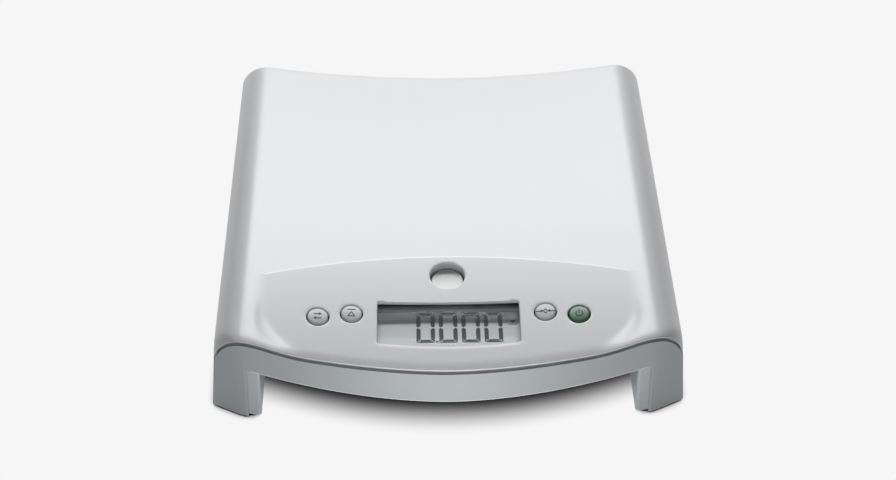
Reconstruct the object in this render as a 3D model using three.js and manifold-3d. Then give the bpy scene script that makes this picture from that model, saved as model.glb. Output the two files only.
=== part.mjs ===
import * as THREE from 'three';
import { mergeVertices } from 'three/addons/utils/BufferGeometryUtils.js';
import Module from 'manifold-3d';

const wasm = await Module();
wasm.setup();

// Digital baby weighing scale with its weighing tray taken off: the step-on base.
// Millimetres, +Z up, front at -Y, origin on the floor under the middle of the outline.

// Overall size and outline
const overall_width = 325;
const overall_depth = 322;
const overall_height = 70;
const leg_bottom_z = 2;
const side_flare_share = 0.082;
const back_lean_share = 0.02;
const ridge_inset = 18.5;
const front_bulge = 19.5;
const front_bulge_power_share = 2.5;
const back_hollow = 7.7;

// Top surface: a shallow trough between two rounded shoulders
const shoulder_radius = 22;
const trough_edge_angle_share = 0.1;
const lip_radius = 1.2;
const panel_length = 103.7;
const crease_sweep = 28.6;
const panel_start_slope_share = 0.05;
const panel_end_drop = 1.6;
const panel_end_inset = 31.5;
const panel_end_blend = 25;

// Walls, gaps and seam
const shell_wall = 2.2;
const seat_gap = 0.3;
const seam_below_lip = 2;
const seam_gap = 3.2;
const seam_shoulder_extra = 3;
const tongue_wall = 1.3;
const tongue_up = 0.5;
const tongue_down = 5;
const tongue_reach = 7;
const overrun = 40;

// Arch under the front and back, and the legs beside it
const arch_below_top = 42.8;
const arch_radius = 567;
const leg_width = 21.5;
const leg_step = 8;
const arch_corner_radius = 3;
const tray_wall = 2.2;
const tray_rim_below_seam = 7;
const tray_under_arch = 2.6;

// Display
const display_half_width = 48.3;
const display_length = 39.1;
const display_front_inset = 22.4;
const display_corner_radius = 1.6;
const window_thickness = 1.2;
const window_border = 3;
const lcd_below_frame = 2.6;
const lcd_thickness = 2.2;
const lcd_margin = 1.6;
const lcd_front_extra = 0.4;
const frame_wall = 2.4;
const frame_lip = 1.2;
const contact_strip_width = 2.6;
const contact_strip_height = 3.2;

// Board under the control panel
const board_beyond_key = 9.6;
const board_front_inset = 20;
const board_depth = 45;
const board_thickness = 1.6;
const board_post_radius = 3.4;
const board_post_from_key = 11.2;
const board_post_front_inset = 10;
const board_post_rear_inset = 5;
const connector_width = 12;
const connector_depth = 5;
const connector_height = 5;
const connector_pitch = 16;
const connector_place_shares = [-2.75, -1.75, 1.75, 2.75, 3.75];

// Keys
const key_hole_radius = 7.8;
const key_clearance = 0.65;
const key_proud = 0.5;
const key_travel = 0.8;
const key_from_display = 17.5;
const key_pitch = 22.6;
const key_outer_front_inset = 46.4;
const key_inner_front_inset = 50.2;
const key_flange_radius = 9.3;
const key_flange_depth = 2;
const key_stem_radius = 3;
const switch_side = 6.4;
const switch_height = 3.4;
const plunger_radius = 1.7;
const plunger_clearance = 0.35;
const plunger_out = 0.8;

// Round tray release button and its seat
const release_front_inset = 86.6;
const release_hole_radius = 12.1;
const release_gap = 1.2;
const release_recess = 4.4;
const release_dish = 1.2;
const release_rim = 1;
const release_flange_radius = 13.4;
const release_flange_height = 1.6;
const release_travel = 3;
const collar_wall = 2;
const collar_depth = 6.6;
const guide_wall = 2.4;
const guide_over_collar = 2;
const spring_radius = 6;
const spring_wire_radius = 0.5;
const spring_closed_length = 5;
const spring_turns = 4.5;

// Battery box and door
const cell_radius = 7.1;
const cell_length = 50.5;
const cell_nub_radius = 2.7;
const cell_nub_length = 1.2;
const cell_pitch = 15;
const cell_count = 4;
const battery_behind_middle = 40;
const battery_end_space = 4.4;
const battery_side_space = 1.6;
const door_thickness = 2;
const door_gap = 0.4;
const door_tongue_width = 9;
const door_tongue_reach = 2;
const door_tongue_height = 1.6;
const door_tongue_x = 19;
const door_grip_depth = 1;
const door_grip_width = 22;
const door_grip_length = 7;
const contact_thickness = 0.6;
const contact_height = 9;
const contact_leaf_width = 6;
const contact_leaf_reach = 3;

// Load cells and feet
const beam_inset = 16.1;
const beam_length = 60;
const beam_width = 12;
const beam_height = 8;
const beam_bottom_z = 11.2;
const beam_hole_radius = 2.6;
const beam_hole_spacing = 14;
const beam_web = 2.2;
const foot_inset = 9;
const front_beam_inset = 29;
const rear_beam_inset = 11;
const foot_hole_radius = 8.4;
const foot_radius = 7;
const pad_height = 3.2;
const foot_stem_radius = 3.2;
const foot_collar_height = 2.6;
const beam_boss_length = 16;

// Screws and bosses
const cover_boss_inset = 50.5;
const cover_boss_rear_inset = 29;
const cover_boss_front_inset = 97;
const boss_radius = 4.2;
const screw_radius = 1.5;
const screw_head_radius = 2.9;
const screw_head_height = 1.9;
const screw_clearance = 0.3;
const cover_screw_length = 13;
const board_screw_length = 6;
const cell_screw_length = 8;
const boss_split_below_top = 18;
const screw_seat_thickness = 2.6;

// Leads
const lead_radius = 1.3;
const lead_lift = 3.4;
const lead_rise = 11;
const lead_turn = 27.5;
const lead_lane_turn = 56;
const lead_lane_from_boss = 15;
const lead_front_lane_from_boss = 32;
const lead_rear_lane_x = 60;
const lead_rear_lane_from_boss = 16;
const battery_lead_from_boss = 24;
const plug_lead_out = 8;

// Facet counts
const trough_steps = 5;
const shoulder_steps = 5;
const lip_steps = 2;
const panel_rows = 3;
const platform_rows = 1;
const round_steps = 22;
const small_round_steps = 10;
const screw_steps = 8;
const foot_steps = 16;
const dish_steps = 3;
const corner_steps = 2;
const spring_turn_steps = 8;
const spring_sides = 5;
const lead_steps = 9;
const lead_sides = 8;

// Worked out from the driving sizes
const wall_lean = Math.atan(side_flare_share);
const half_width = overall_width / 2;
const half_depth = overall_depth / 2;
const trough_edge_angle = Math.atan(trough_edge_angle_share);
const shoulder_z = overall_height - shoulder_radius;
const shoulder_x = half_width - (shoulder_radius + shoulder_z * Math.sin(wall_lean)) / Math.cos(wall_lean);
const trough_edge_x = shoulder_x - shoulder_radius * Math.sin(trough_edge_angle);
const trough_edge_z = shoulder_z + shoulder_radius * Math.cos(trough_edge_angle);
const ridge_half_width = half_width - ridge_inset;
const front_edge_y = -half_depth;
const crease_middle_y = front_edge_y + panel_length;
const panel_end_half_width = half_width - panel_end_inset;
const panel_full_half_width = panel_end_half_width - panel_end_blend;
const arch_middle_z = overall_height - arch_below_top;
const arch_half_width = half_width - leg_width;
const tunnel_half_width = arch_half_width - leg_step;
const tray_inset = shell_wall + seat_gap;
const display_front_y = front_edge_y + display_front_inset;
const display_rear_y = display_front_y + display_length;
const key_inner_x = display_half_width + key_from_display;
const key_outer_x = key_inner_x + key_pitch;
const key_outer_y = front_edge_y + key_outer_front_inset;
const key_inner_y = front_edge_y + key_inner_front_inset;
const release_y = front_edge_y + release_front_inset;
const board_half_width = key_outer_x + board_beyond_key;
const board_front_y = front_edge_y + board_front_inset;
const board_rear_y = board_front_y + board_depth;
const board_post_x = key_inner_x + board_post_from_key;
const board_post_front_y = board_front_y + board_post_front_inset;
const board_post_rear_y = board_rear_y - board_post_rear_inset;
const battery_middle_y = battery_behind_middle;
const cell_beam_x = half_width - beam_inset;
const front_beam_end_y = front_edge_y + front_beam_inset;
const rear_beam_end_y = half_depth - rear_beam_inset;
const cover_boss_x = half_width - cover_boss_inset;
const cover_boss_front_y = front_edge_y + cover_boss_front_inset;
const cover_boss_rear_y = half_depth - cover_boss_rear_inset;
const cover_boss_middle_y = (cover_boss_front_y + cover_boss_rear_y) / 2;
const boss_split_z = overall_height - boss_split_below_top;
const spring_length = release_travel + spring_closed_length;

const finish = {
  cover: new THREE.MeshStandardMaterial({ color: 0xdedfe0, roughness: 0.55, metalness: 0 }),
  housing: new THREE.MeshStandardMaterial({ color: 0x9aa0a3, roughness: 0.6, metalness: 0 }),
  tray: new THREE.MeshStandardMaterial({ color: 0xa4aaad, roughness: 0.6, metalness: 0 }),
  key: new THREE.MeshStandardMaterial({ color: 0xc4c6c8, roughness: 0.5, metalness: 0 }),
  green_key: new THREE.MeshStandardMaterial({ color: 0x5e9270, roughness: 0.5, metalness: 0 }),
  disc: new THREE.MeshStandardMaterial({ color: 0xc7c9ca, roughness: 0.5, metalness: 0 }),
  clear: new THREE.MeshStandardMaterial({
    color: 0xf2f4f4, roughness: 0.08, metalness: 0, transparent: true, opacity: 0.3 }),
  lcd: new THREE.MeshStandardMaterial({ color: 0xbdc0c1, roughness: 0.3, metalness: 0 }),
  dark: new THREE.MeshStandardMaterial({ color: 0x55595c, roughness: 0.6, metalness: 0 }),
  board: new THREE.MeshStandardMaterial({ color: 0x2f6b45, roughness: 0.5, metalness: 0 }),
  steel: new THREE.MeshStandardMaterial({ color: 0xb4b7ba, roughness: 0.35, metalness: 1 }),
  alloy: new THREE.MeshStandardMaterial({ color: 0xc9ccd0, roughness: 0.4, metalness: 1 }),
  rubber: new THREE.MeshStandardMaterial({ color: 0x222324, roughness: 0.9, metalness: 0 }),
  battery: new THREE.MeshStandardMaterial({ color: 0x3a3d40, roughness: 0.4, metalness: 0.3 }),
  lead: new THREE.MeshStandardMaterial({ color: 0xd7d8d8, roughness: 0.6, metalness: 0 }),
};

const scale = new THREE.Group();

// Solids and booleans
function solid(geometry) {
  const bare = geometry.index ? geometry.toNonIndexed() : geometry.clone();
  bare.deleteAttribute('normal');
  bare.deleteAttribute('uv');
  const merged = mergeVertices(bare);
  const mesh = new wasm.Mesh({
    numProp: 3,
    vertProperties: new Float32Array(merged.attributes.position.array),
    triVerts: new Uint32Array(merged.index.array),
  });
  return new wasm.Manifold(mesh);
}

function add_part(name, shape, material) {
  const result = shape.getMesh();
  const geometry = new THREE.BufferGeometry();
  geometry.setAttribute('position', new THREE.BufferAttribute(new Float32Array(result.vertProperties), 3));
  geometry.setIndex(new THREE.BufferAttribute(new Uint32Array(result.triVerts), 1));
  geometry.computeVertexNormals();
  const part = new THREE.Mesh(geometry, material);
  part.name = name;
  scale.add(part);
}

function block(x0, x1, y0, y1, z0, z1) {
  const geometry = new THREE.BoxGeometry(x1 - x0, y1 - y0, z1 - z0);
  geometry.translate((x0 + x1) / 2, (y0 + y1) / 2, (z0 + z1) / 2);
  return solid(geometry);
}

function post(x, y, z0, z1, radius, steps = small_round_steps) {
  const geometry = new THREE.CylinderGeometry(radius, radius, z1 - z0, steps);
  geometry.rotateX(Math.PI / 2);
  geometry.translate(x, y, (z0 + z1) / 2);
  return solid(geometry);
}

function turned(x, y, outline, steps = small_round_steps) {
  const points = outline.map(([radius, z]) => new THREE.Vector2(radius, z));
  const geometry = new THREE.LatheGeometry(points, steps);
  geometry.rotateX(Math.PI / 2);
  geometry.translate(x, y, 0);
  return solid(geometry);
}

// An outline in X and Z, carried straight along Y
function along_y(outline, y0, y1) {
  const shape = new THREE.Shape(outline.map(([x, z]) => new THREE.Vector2(x, z)));
  const geometry = new THREE.ExtrudeGeometry(shape, { depth: y1 - y0, bevelEnabled: false });
  geometry.rotateX(Math.PI / 2);
  geometry.translate(0, y1, 0);
  return solid(geometry);
}

// An outline in X and Y, carried straight up
function upright(outline, z0, z1) {
  const shape = new THREE.Shape(outline.map(([x, y]) => new THREE.Vector2(x, y)));
  const geometry = new THREE.ExtrudeGeometry(shape, { depth: z1 - z0, bevelEnabled: false });
  geometry.translate(0, 0, z0);
  return solid(geometry);
}

function join(shapes) {
  return shapes.reduce((whole, shape) => whole.add(shape));
}

function cut(shape, tools) {
  return tools.reduce((left, tool) => left.subtract(tool), shape);
}

const mirror_pair = [-1, 1];

// Outer form of the whole housing
function front_y(x, z) {
  const bulge = front_bulge * Math.abs(x / ridge_half_width) ** front_bulge_power_share;
  return -half_depth + bulge + side_flare_share * (z - arch_middle_z);
}

function back_y(x, z) {
  const reach = Math.min(1, (x / ridge_half_width) ** 2);
  return half_depth - back_hollow * (1 - reach) - back_lean_share * z;
}

function crease_y(x) {
  return crease_middle_y - crease_sweep * (x / ridge_half_width) ** 2;
}

function trough_z(x) {
  const bend = trough_edge_angle_share / 2 / trough_edge_x;
  return trough_edge_z - bend * (trough_edge_x ** 2 - x ** 2);
}

function panel_drop(x, y) {
  const distance = Math.max(0, crease_y(x) - y);
  const sink = panel_start_slope_share * distance + panel_end_drop * (distance / panel_length) ** 2;
  const side = THREE.MathUtils.smoothstep(Math.abs(x), panel_full_half_width, panel_end_half_width);
  return sink * (1 - side);
}

function top_z(x, y) {
  return trough_z(x) - panel_drop(x, y);
}

// Cross-section of the top as points with their outward normals, from left to right
function profile_columns() {
  const right = [];
  for (let i = 1; i <= trough_steps; i++) {
    const x = trough_edge_x * i / trough_steps;
    const slope = trough_edge_angle_share * x / trough_edge_x;
    const length = Math.hypot(slope, 1);
    right.push({ x, z: trough_z(x), nx: -slope / length, nz: 1 / length });
  }
  for (let i = 0; i <= shoulder_steps; i++) {
    const angle = (Math.PI / 2 - wall_lean) * i / shoulder_steps;
    const nx = Math.sin(angle);
    const nz = Math.cos(angle);
    right.push({ x: shoulder_x + shoulder_radius * nx, z: shoulder_z + shoulder_radius * nz, nx, nz });
  }
  const left = right.map((c) => ({ x: -c.x, z: c.z, nx: -c.nx, nz: c.nz })).reverse();
  return [...left, { x: 0, z: trough_z(0), nx: 0, nz: 1 }, ...right];
}

// Rows from front to back: the rolled lip, the panel, the platform and the rolled back edge
function depth_rows(inset) {
  const radius = Math.max(seat_gap, lip_radius - inset);
  const rows = [];
  for (let i = 0; i <= lip_steps; i++) {
    const angle = Math.PI / 2 * i / lip_steps;
    const back = radius * (1 - Math.cos(angle));
    rows.push({ roll: radius * (1 - Math.sin(angle)), y: (x, z) => front_y(x, z) + inset + back });
  }
  for (let i = 1; i <= panel_rows; i++) {
    const t = i / panel_rows;
    const y = (x, z) => THREE.MathUtils.lerp(front_y(x, z) + inset + radius, crease_y(x), t);
    rows.push({ roll: 0, y });
  }
  for (let i = 1; i <= platform_rows; i++) {
    const t = i / platform_rows;
    const y = (x, z) => THREE.MathUtils.lerp(crease_y(x), back_y(x, z) - inset - radius, t);
    rows.push({ roll: 0, y });
  }
  for (let i = lip_steps - 1; i >= 0; i--) {
    const angle = Math.PI / 2 * i / lip_steps;
    const back = radius * (1 - Math.cos(angle));
    rows.push({ roll: radius * (1 - Math.sin(angle)), y: (x, z) => back_y(x, z) - inset - back });
  }
  return rows;
}

// The outer form drawn in by an inset on every side, closed flat at bottom_z
function envelope(inset, bottom_z) {
  const columns = profile_columns();
  const rows = depth_rows(inset);
  const last = columns.length + 1;
  const wall_x = half_width - side_flare_share * bottom_z - inset / Math.cos(wall_lean);
  const top = [];
  const bottom = [];
  for (const row of rows) {
    const upper = [];
    const lower = [];
    for (let k = 0; k <= last; k++) {
      const side = k === 0 ? -1 : 1;
      const at_wall = k === 0 || k === last;
      const column = at_wall ? null : columns[k - 1];
      const offset = inset + row.roll;
      const x = at_wall ? side * (wall_x - row.roll) : column.x - column.nx * offset;
      const level = at_wall ? bottom_z : column.z - column.nz * offset;
      const z = at_wall ? bottom_z : level - panel_drop(x, row.y(x, level));
      upper.push(new THREE.Vector3(x, row.y(x, z), z));
      lower.push(new THREE.Vector3(x, row.y(x, bottom_z), bottom_z));
    }
    top.push(upper);
    bottom.push(lower);
  }
  const points = [];
  const triangle = (a, b, c) => points.push(a, b, c);
  const quad = (a, b, c, d) => {
    triangle(a, b, c);
    triangle(a, c, d);
  };
  for (let r = 0; r + 1 < rows.length; r++) {
    for (let k = 0; k < last; k++) {
      quad(top[r][k], top[r][k + 1], top[r + 1][k + 1], top[r + 1][k]);
    }
  }
  const rim = [
    ...bottom[0],
    ...bottom.slice(1, -1).map((row) => row[last]),
    ...bottom[rows.length - 1].slice().reverse(),
    ...bottom.slice(1, -1).map((row) => row[0]).reverse(),
  ];
  const flat = rim.map((corner) => new THREE.Vector2(corner.x, corner.y));
  for (const [a, b, c] of THREE.ShapeUtils.triangulateShape(flat, [])) triangle(rim[a], rim[c], rim[b]);
  const cap = (r, outward) => {
    for (let k = 0; k < last; k++) {
      const corners = [bottom[r][k], bottom[r][k + 1], top[r][k + 1], top[r][k]];
      const kept = corners.filter((c, i) => corners.findIndex((d) => d.equals(c)) === i);
      if (!outward) kept.reverse();
      for (let i = 1; i + 1 < kept.length; i++) triangle(kept[0], kept[i], kept[i + 1]);
    }
  };
  cap(0, true);
  cap(rows.length - 1, false);
  const geometry = new THREE.BufferGeometry().setFromPoints(points);
  return solid(geometry);
}

// Height of the seam between cover and skirt, the same all along Y
function seam_z(x) {
  const across = Math.abs(x);
  if (across <= shoulder_x) {
    const y = front_y(across, overall_height) + lip_radius;
    const level = across <= trough_edge_x ? trough_z(across) : overall_height;
    return level - panel_drop(across, y) - lip_radius - seam_below_lip;
  }
  const radius = shoulder_radius + seam_shoulder_extra;
  const reach = Math.min(across - shoulder_x, radius);
  return overall_height - lip_radius - seam_below_lip - radius + Math.sqrt(radius ** 2 - reach ** 2);
}

// Everything above the seam raised by an offset
function above_seam(offset) {
  const outline = [];
  const edge = shoulder_x + shoulder_radius + seam_shoulder_extra;
  const places = [];
  for (let i = 0; i <= trough_steps; i++) places.push(trough_edge_x * i / trough_steps);
  for (let i = 1; i <= shoulder_steps; i++) {
    places.push(shoulder_x + (edge - shoulder_x) * Math.sin(Math.PI / 2 * i / shoulder_steps));
  }
  const line = [...places.map((x) => -x).reverse().slice(0, -1), ...places];
  outline.push([-edge - overrun, overall_height + overrun]);
  outline.push([-edge - overrun, seam_z(edge) + offset]);
  for (const x of line) outline.push([x, seam_z(x) + offset]);
  outline.push([edge + overrun, seam_z(edge) + offset]);
  outline.push([edge + overrun, overall_height + overrun]);
  return along_y(outline, -half_depth - overrun, half_depth + overrun);
}

// Lower edge of the apron, and the tunnel between the legs below it
function arch_z(x) {
  return arch_middle_z + x ** 2 / (2 * arch_radius);
}

function arch_outline(reach, lift, corner) {
  const outline = [[-reach, -overrun]];
  for (let i = 0; i <= corner_steps; i++) {
    const angle = Math.PI / 2 * i / corner_steps;
    const x = -reach + corner * (1 - Math.cos(angle));
    outline.push([x, arch_z(reach - corner) + lift - corner * (1 - Math.sin(angle))]);
  }
  for (let i = 1; i < 2 * trough_steps; i++) {
    const x = (reach - corner) * (i / trough_steps - 1);
    outline.push([x, arch_z(x) + lift]);
  }
  for (let i = corner_steps; i >= 0; i--) {
    const [x, z] = outline[1 + i];
    outline.push([-x, z]);
  }
  outline.push([reach, -overrun]);
  return outline;
}

// Levels of the display stack, from the window under the cover down to the board
const display_front_edge_y = display_front_y - window_border;
const display_rear_edge_y = display_rear_y + window_border;
const window_rise = top_z(0, display_rear_edge_y) - top_z(0, display_front_edge_y);
const window_slope = Math.atan(window_rise / (display_rear_edge_y - display_front_edge_y));
const window_front_top_z = top_z(0, display_front_edge_y) - shell_wall - 2 * seat_gap;
const frame_top_z = window_front_top_z - window_thickness - seat_gap;
const lcd_top_z = frame_top_z - lcd_below_frame;
const lcd_bottom_z = lcd_top_z - lcd_thickness;
const board_top_z = lcd_bottom_z - contact_strip_height - 2 * seat_gap;
const board_bottom_z = board_top_z - board_thickness;

const long_y = half_depth + overrun;
const whole = envelope(0, leg_bottom_z);
const hollow = envelope(shell_wall, leg_bottom_z - overrun);
const wall_ring = whole.subtract(hollow);

// Cover: platform, control panel and shoulders in one moulding
function display_outline(grow) {
  const reach = display_half_width + grow;
  const front = (x) => display_front_y - grow + front_y(x, 0) - front_y(0, 0);
  const radius = display_corner_radius;
  const outline = [];
  for (let i = 0; i <= trough_steps; i++) {
    const x = (reach - radius) * (2 * i / trough_steps - 1);
    outline.push([x, front(x)]);
  }
  outline.push([reach, front(reach) + radius]);
  outline.push([reach, display_rear_y + grow - radius]);
  outline.push([reach - radius, display_rear_y + grow]);
  outline.push([radius - reach, display_rear_y + grow]);
  outline.push([-reach, display_rear_y + grow - radius]);
  outline.push([-reach, front(reach) + radius]);
  return outline;
}

const keys = [
  { name: 'unit', x: -key_outer_x, y: key_outer_y, material: finish.key },
  { name: 'hold', x: -key_inner_x, y: key_inner_y, material: finish.key },
  { name: 'tare', x: key_inner_x, y: key_inner_y, material: finish.key },
  { name: 'start', x: key_outer_x, y: key_outer_y, material: finish.green_key },
];

const boss_places = [];
for (const side of mirror_pair) {
  boss_places.push({ name: 'front', x: side * cover_boss_x, y: cover_boss_front_y });
  boss_places.push({ name: 'middle', x: side * cover_boss_x, y: cover_boss_middle_y });
  boss_places.push({ name: 'rear', x: side * cover_boss_x, y: cover_boss_rear_y });
}

const collar_bottom_z = top_z(0, release_y) - shell_wall - collar_depth;

function make_cover() {
  const shell = wall_ring.intersect(above_seam(seam_gap / 2));
  const under = envelope(shell_wall / 2, leg_bottom_z);
  const bosses = boss_places.map((b) => post(b.x, b.y, boss_split_z, overall_height, boss_radius));
  const collar_radius = release_hole_radius + collar_wall;
  const collar = post(0, release_y, collar_bottom_z, overall_height, collar_radius, round_steps);
  const inner = join([...bosses, collar]).intersect(under);
  const pilot = boss_places.map((b) => {
    const top = screw_top_z();
    return post(b.x, b.y, boss_split_z - overrun, top, screw_radius + screw_clearance);
  });
  const holes = keys.map((k) => post(k.x, k.y, 0, overall_height + overrun, key_hole_radius, round_steps));
  const release_hole = post(0, release_y, 0, overall_height + overrun, release_hole_radius, round_steps);
  const window_hole = upright(display_outline(0), 0, overall_height + overrun);
  return cut(shell.add(inner), [...pilot, ...holes, release_hole, window_hole]);
}

function boss_seat_z() {
  return arch_z(cover_boss_x) + tray_under_arch + screw_seat_thickness;
}

function screw_top_z() {
  return boss_seat_z() + cover_screw_length + screw_clearance;
}

// Outline of the housing seen from above, drawn in by an inset
function plan_outline(inset) {
  const outline = [];
  for (let i = -trough_steps; i <= trough_steps; i++) {
    const x = shoulder_x * i / trough_steps;
    outline.push([x, front_y(x, overall_height) + inset]);
  }
  for (let i = trough_steps; i >= -trough_steps; i--) {
    const x = shoulder_x * i / trough_steps;
    outline.push([x, back_y(x, overall_height) - inset]);
  }
  return outline;
}

// Skirt: apron, legs and side walls, with a tongue that steps up inside the cover
function make_skirt() {
  const over = above_seam(-seam_gap / 2);
  const ring = wall_ring.subtract(over);
  const space = envelope(tray_inset + tongue_wall, leg_bottom_z - overrun);
  const thick = whole.subtract(space);
  const thin = envelope(tray_inset, leg_bottom_z).subtract(space);
  const band = thick.intersect(above_seam(-seam_gap / 2 - tongue_down)).subtract(over);
  const tongue = thin.intersect(above_seam(-seam_gap / 2 - tongue_down)).subtract(above_seam(tongue_up));
  const arch = along_y(arch_outline(arch_half_width, 0, arch_corner_radius), -long_y, long_y);
  const middle = upright(plan_outline(tongue_reach), 0, overall_height + overrun);
  return ring.add(band.add(tongue).subtract(middle)).subtract(arch);
}

// Base tray: curved floor, two runner pods and the battery box
const battery_half_width = cell_pitch * cell_count / 2 + battery_side_space;
const battery_half_length = cell_length / 2 + battery_end_space;
const battery_front_y = battery_middle_y - battery_half_length;
const battery_rear_y = battery_middle_y + battery_half_length;
const floor_bottom_z = arch_middle_z + tray_under_arch;
const door_bottom_z = floor_bottom_z + seat_gap;
const door_top_z = door_bottom_z + door_thickness;
const cell_middle_z = door_top_z + seat_gap + cell_radius;
const battery_roof_z = cell_middle_z + cell_radius + seat_gap;

const load_cells = [];
for (const side of mirror_pair) {
  const hand = side < 0 ? 'left' : 'right';
  const [front_plug, rear_plug] = side < 0 ? [0, 1] : [4, 3];
  const x = side * cell_beam_x;
  load_cells.push({ name: `front_${hand}`, x, end: front_beam_end_y, toward: 1, plug: front_plug });
  load_cells.push({ name: `rear_${hand}`, x, end: rear_beam_end_y, toward: -1, plug: rear_plug });
}
for (const cell of load_cells) {
  cell.foot_y = cell.end + cell.toward * foot_inset;
  cell.root_y = cell.end + cell.toward * beam_length;
  cell.screw_y = cell.root_y - cell.toward * foot_inset;
}

function make_tray() {
  const outer = envelope(tray_inset, leg_bottom_z);
  const rim = above_seam(-seam_gap / 2 - tray_rim_below_seam);
  const reach = tunnel_half_width;
  const tunnel = along_y(arch_outline(reach, tray_under_arch, arch_corner_radius), -long_y, long_y);
  const thick_tunnel = along_y(
    arch_outline(reach + tray_wall, tray_under_arch + tray_wall, arch_corner_radius), -long_y, long_y);
  const cavity = envelope(tray_inset + tray_wall, leg_bottom_z + tray_wall).subtract(thick_tunnel);
  const shell = cut(outer, [rim, tunnel, cavity]);
  const box_wall = tray_wall;
  const box = block(-battery_half_width - box_wall, battery_half_width + box_wall,
    battery_front_y - box_wall, battery_rear_y + box_wall, floor_bottom_z + tray_wall / 2,
    battery_roof_z + box_wall);
  const box_space = block(-battery_half_width, battery_half_width, battery_front_y, battery_rear_y,
    floor_bottom_z - overrun, battery_roof_z);
  const slot_half = door_tongue_width / 2 + door_gap;
  const slots = mirror_pair.map((side) => block(
    side * door_tongue_x - slot_half, side * door_tongue_x + slot_half, battery_rear_y - box_wall,
    battery_rear_y + 2 * box_wall, door_top_z, door_top_z + 2 * door_tongue_height + 2 * door_gap));
  const bosses = boss_places.map((b) => post(b.x, b.y, boss_seat_z() - screw_seat_thickness / 2,
    boss_split_z - seat_gap, boss_radius));
  const board_posts = [];
  for (const side of mirror_pair) {
    for (const y of [board_post_front_y, board_post_rear_y]) {
      board_posts.push(post(side * board_post_x, y, arch_z(board_post_x) + tray_under_arch + tray_wall / 2,
        board_bottom_z - seat_gap, board_post_radius));
    }
  }
  const beam_bosses = load_cells.map((c) => {
    const y = [c.root_y, c.root_y - c.toward * beam_boss_length].sort((a, b) => a - b);
    return block(c.x - beam_width / 2, c.x + beam_width / 2, y[0], y[1], leg_bottom_z + tray_wall / 2,
      beam_bottom_z - seat_gap);
  });
  const foot_holes = load_cells.map((c) => post(c.x, c.foot_y, -overrun, beam_bottom_z, foot_hole_radius,
    round_steps));
  const screw_holes = boss_places.map((b) => post(b.x, b.y, 0, overall_height, screw_radius + screw_clearance));
  const head_holes = boss_places.map((b) => post(b.x, b.y, 0, boss_seat_z(), screw_head_radius + screw_clearance));
  const board_holes = mirror_pair.map((side) => post(side * board_post_x, board_post_front_y,
    board_top_z - board_screw_length - screw_clearance, overall_height, screw_radius + screw_clearance));
  const cell_holes = load_cells.map((c) => post(c.x, c.screw_y,
    beam_bottom_z + beam_height - screw_head_height - cell_screw_length - screw_clearance, overall_height,
    screw_radius + screw_clearance));
  const seats = boss_places.map((b) => post(b.x, b.y, boss_seat_z(), boss_split_z - seat_gap, boss_radius));
  const body = join([shell, box, ...bosses, ...board_posts, ...beam_bosses]);
  const opened = cut(body, [box_space, ...slots, ...foot_holes, ...head_holes]);
  return cut(join([opened, ...seats]), [...screw_holes, ...board_holes, ...cell_holes]);
}

add_part('platform_cover', make_cover(), finish.cover);
add_part('skirt_housing', make_skirt(), finish.housing);
add_part('base_tray', make_tray(), finish.tray);

// Display: window under the cover, frame, glass and contact strip on the board

function make_window() {
  const depth = (display_rear_edge_y - display_front_edge_y) / Math.cos(window_slope);
  const reach = display_half_width + window_border;
  const geometry = new THREE.BoxGeometry(2 * reach, depth, window_thickness);
  geometry.translate(0, depth / 2, -window_thickness / 2);
  geometry.rotateX(window_slope);
  geometry.translate(0, display_front_edge_y, window_front_top_z);
  return solid(geometry);
}

const lcd_front_y = display_front_y - lcd_front_extra;
const lcd_rear_y = display_rear_y + lcd_margin;
const lcd_half_width = display_half_width + lcd_margin;

function make_frame() {
  const low = board_top_z + seat_gap;
  const outer = block(-lcd_half_width - frame_wall, lcd_half_width + frame_wall,
    lcd_front_y - frame_wall, lcd_rear_y + frame_wall, low, frame_top_z);
  const pocket = block(-lcd_half_width - seat_gap, lcd_half_width + seat_gap,
    lcd_front_y - seat_gap, lcd_rear_y + seat_gap, low - overrun, lcd_top_z + seat_gap);
  const sight = block(-display_half_width - seat_gap, display_half_width + seat_gap,
    lcd_front_y + frame_lip, display_rear_y + seat_gap, low, overall_height);
  return cut(outer, [pocket, sight]);
}

add_part('display_window', make_window(), finish.clear);
add_part('lcd_frame', make_frame(), finish.dark);
add_part('lcd_glass', block(-lcd_half_width, lcd_half_width, lcd_front_y, lcd_rear_y, lcd_bottom_z, lcd_top_z),
  finish.lcd);
const strip_rear_y = lcd_rear_y - seat_gap;
add_part('lcd_contact_strip', block(-display_half_width, display_half_width, strip_rear_y - contact_strip_width,
  strip_rear_y, board_top_z + seat_gap, lcd_bottom_z - seat_gap), finish.rubber);

// Circuit board with its connectors
function make_board() {
  const plate = block(-board_half_width, board_half_width, board_front_y, board_rear_y, board_bottom_z,
    board_top_z);
  const connectors = [];
  for (const share of connector_place_shares) {
    const x = share * connector_pitch;
    connectors.push(block(x - connector_width / 2, x + connector_width / 2,
      board_rear_y - connector_depth, board_rear_y, board_bottom_z - connector_height, board_bottom_z));
  }
  const holes = mirror_pair.map((side) => post(side * board_post_x, board_post_front_y, 0, overall_height,
    screw_radius + screw_clearance));
  return cut(join([plate, ...connectors]), holes);
}

add_part('main_board', make_board(), finish.board);

// Keys over their switches
const switch_bottom_z = board_top_z + seat_gap;
const switch_top_z = switch_bottom_z + switch_height;
const plunger_top_z = switch_top_z + plunger_out;
const plunger_bottom_z = switch_bottom_z + key_travel + seat_gap;

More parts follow.
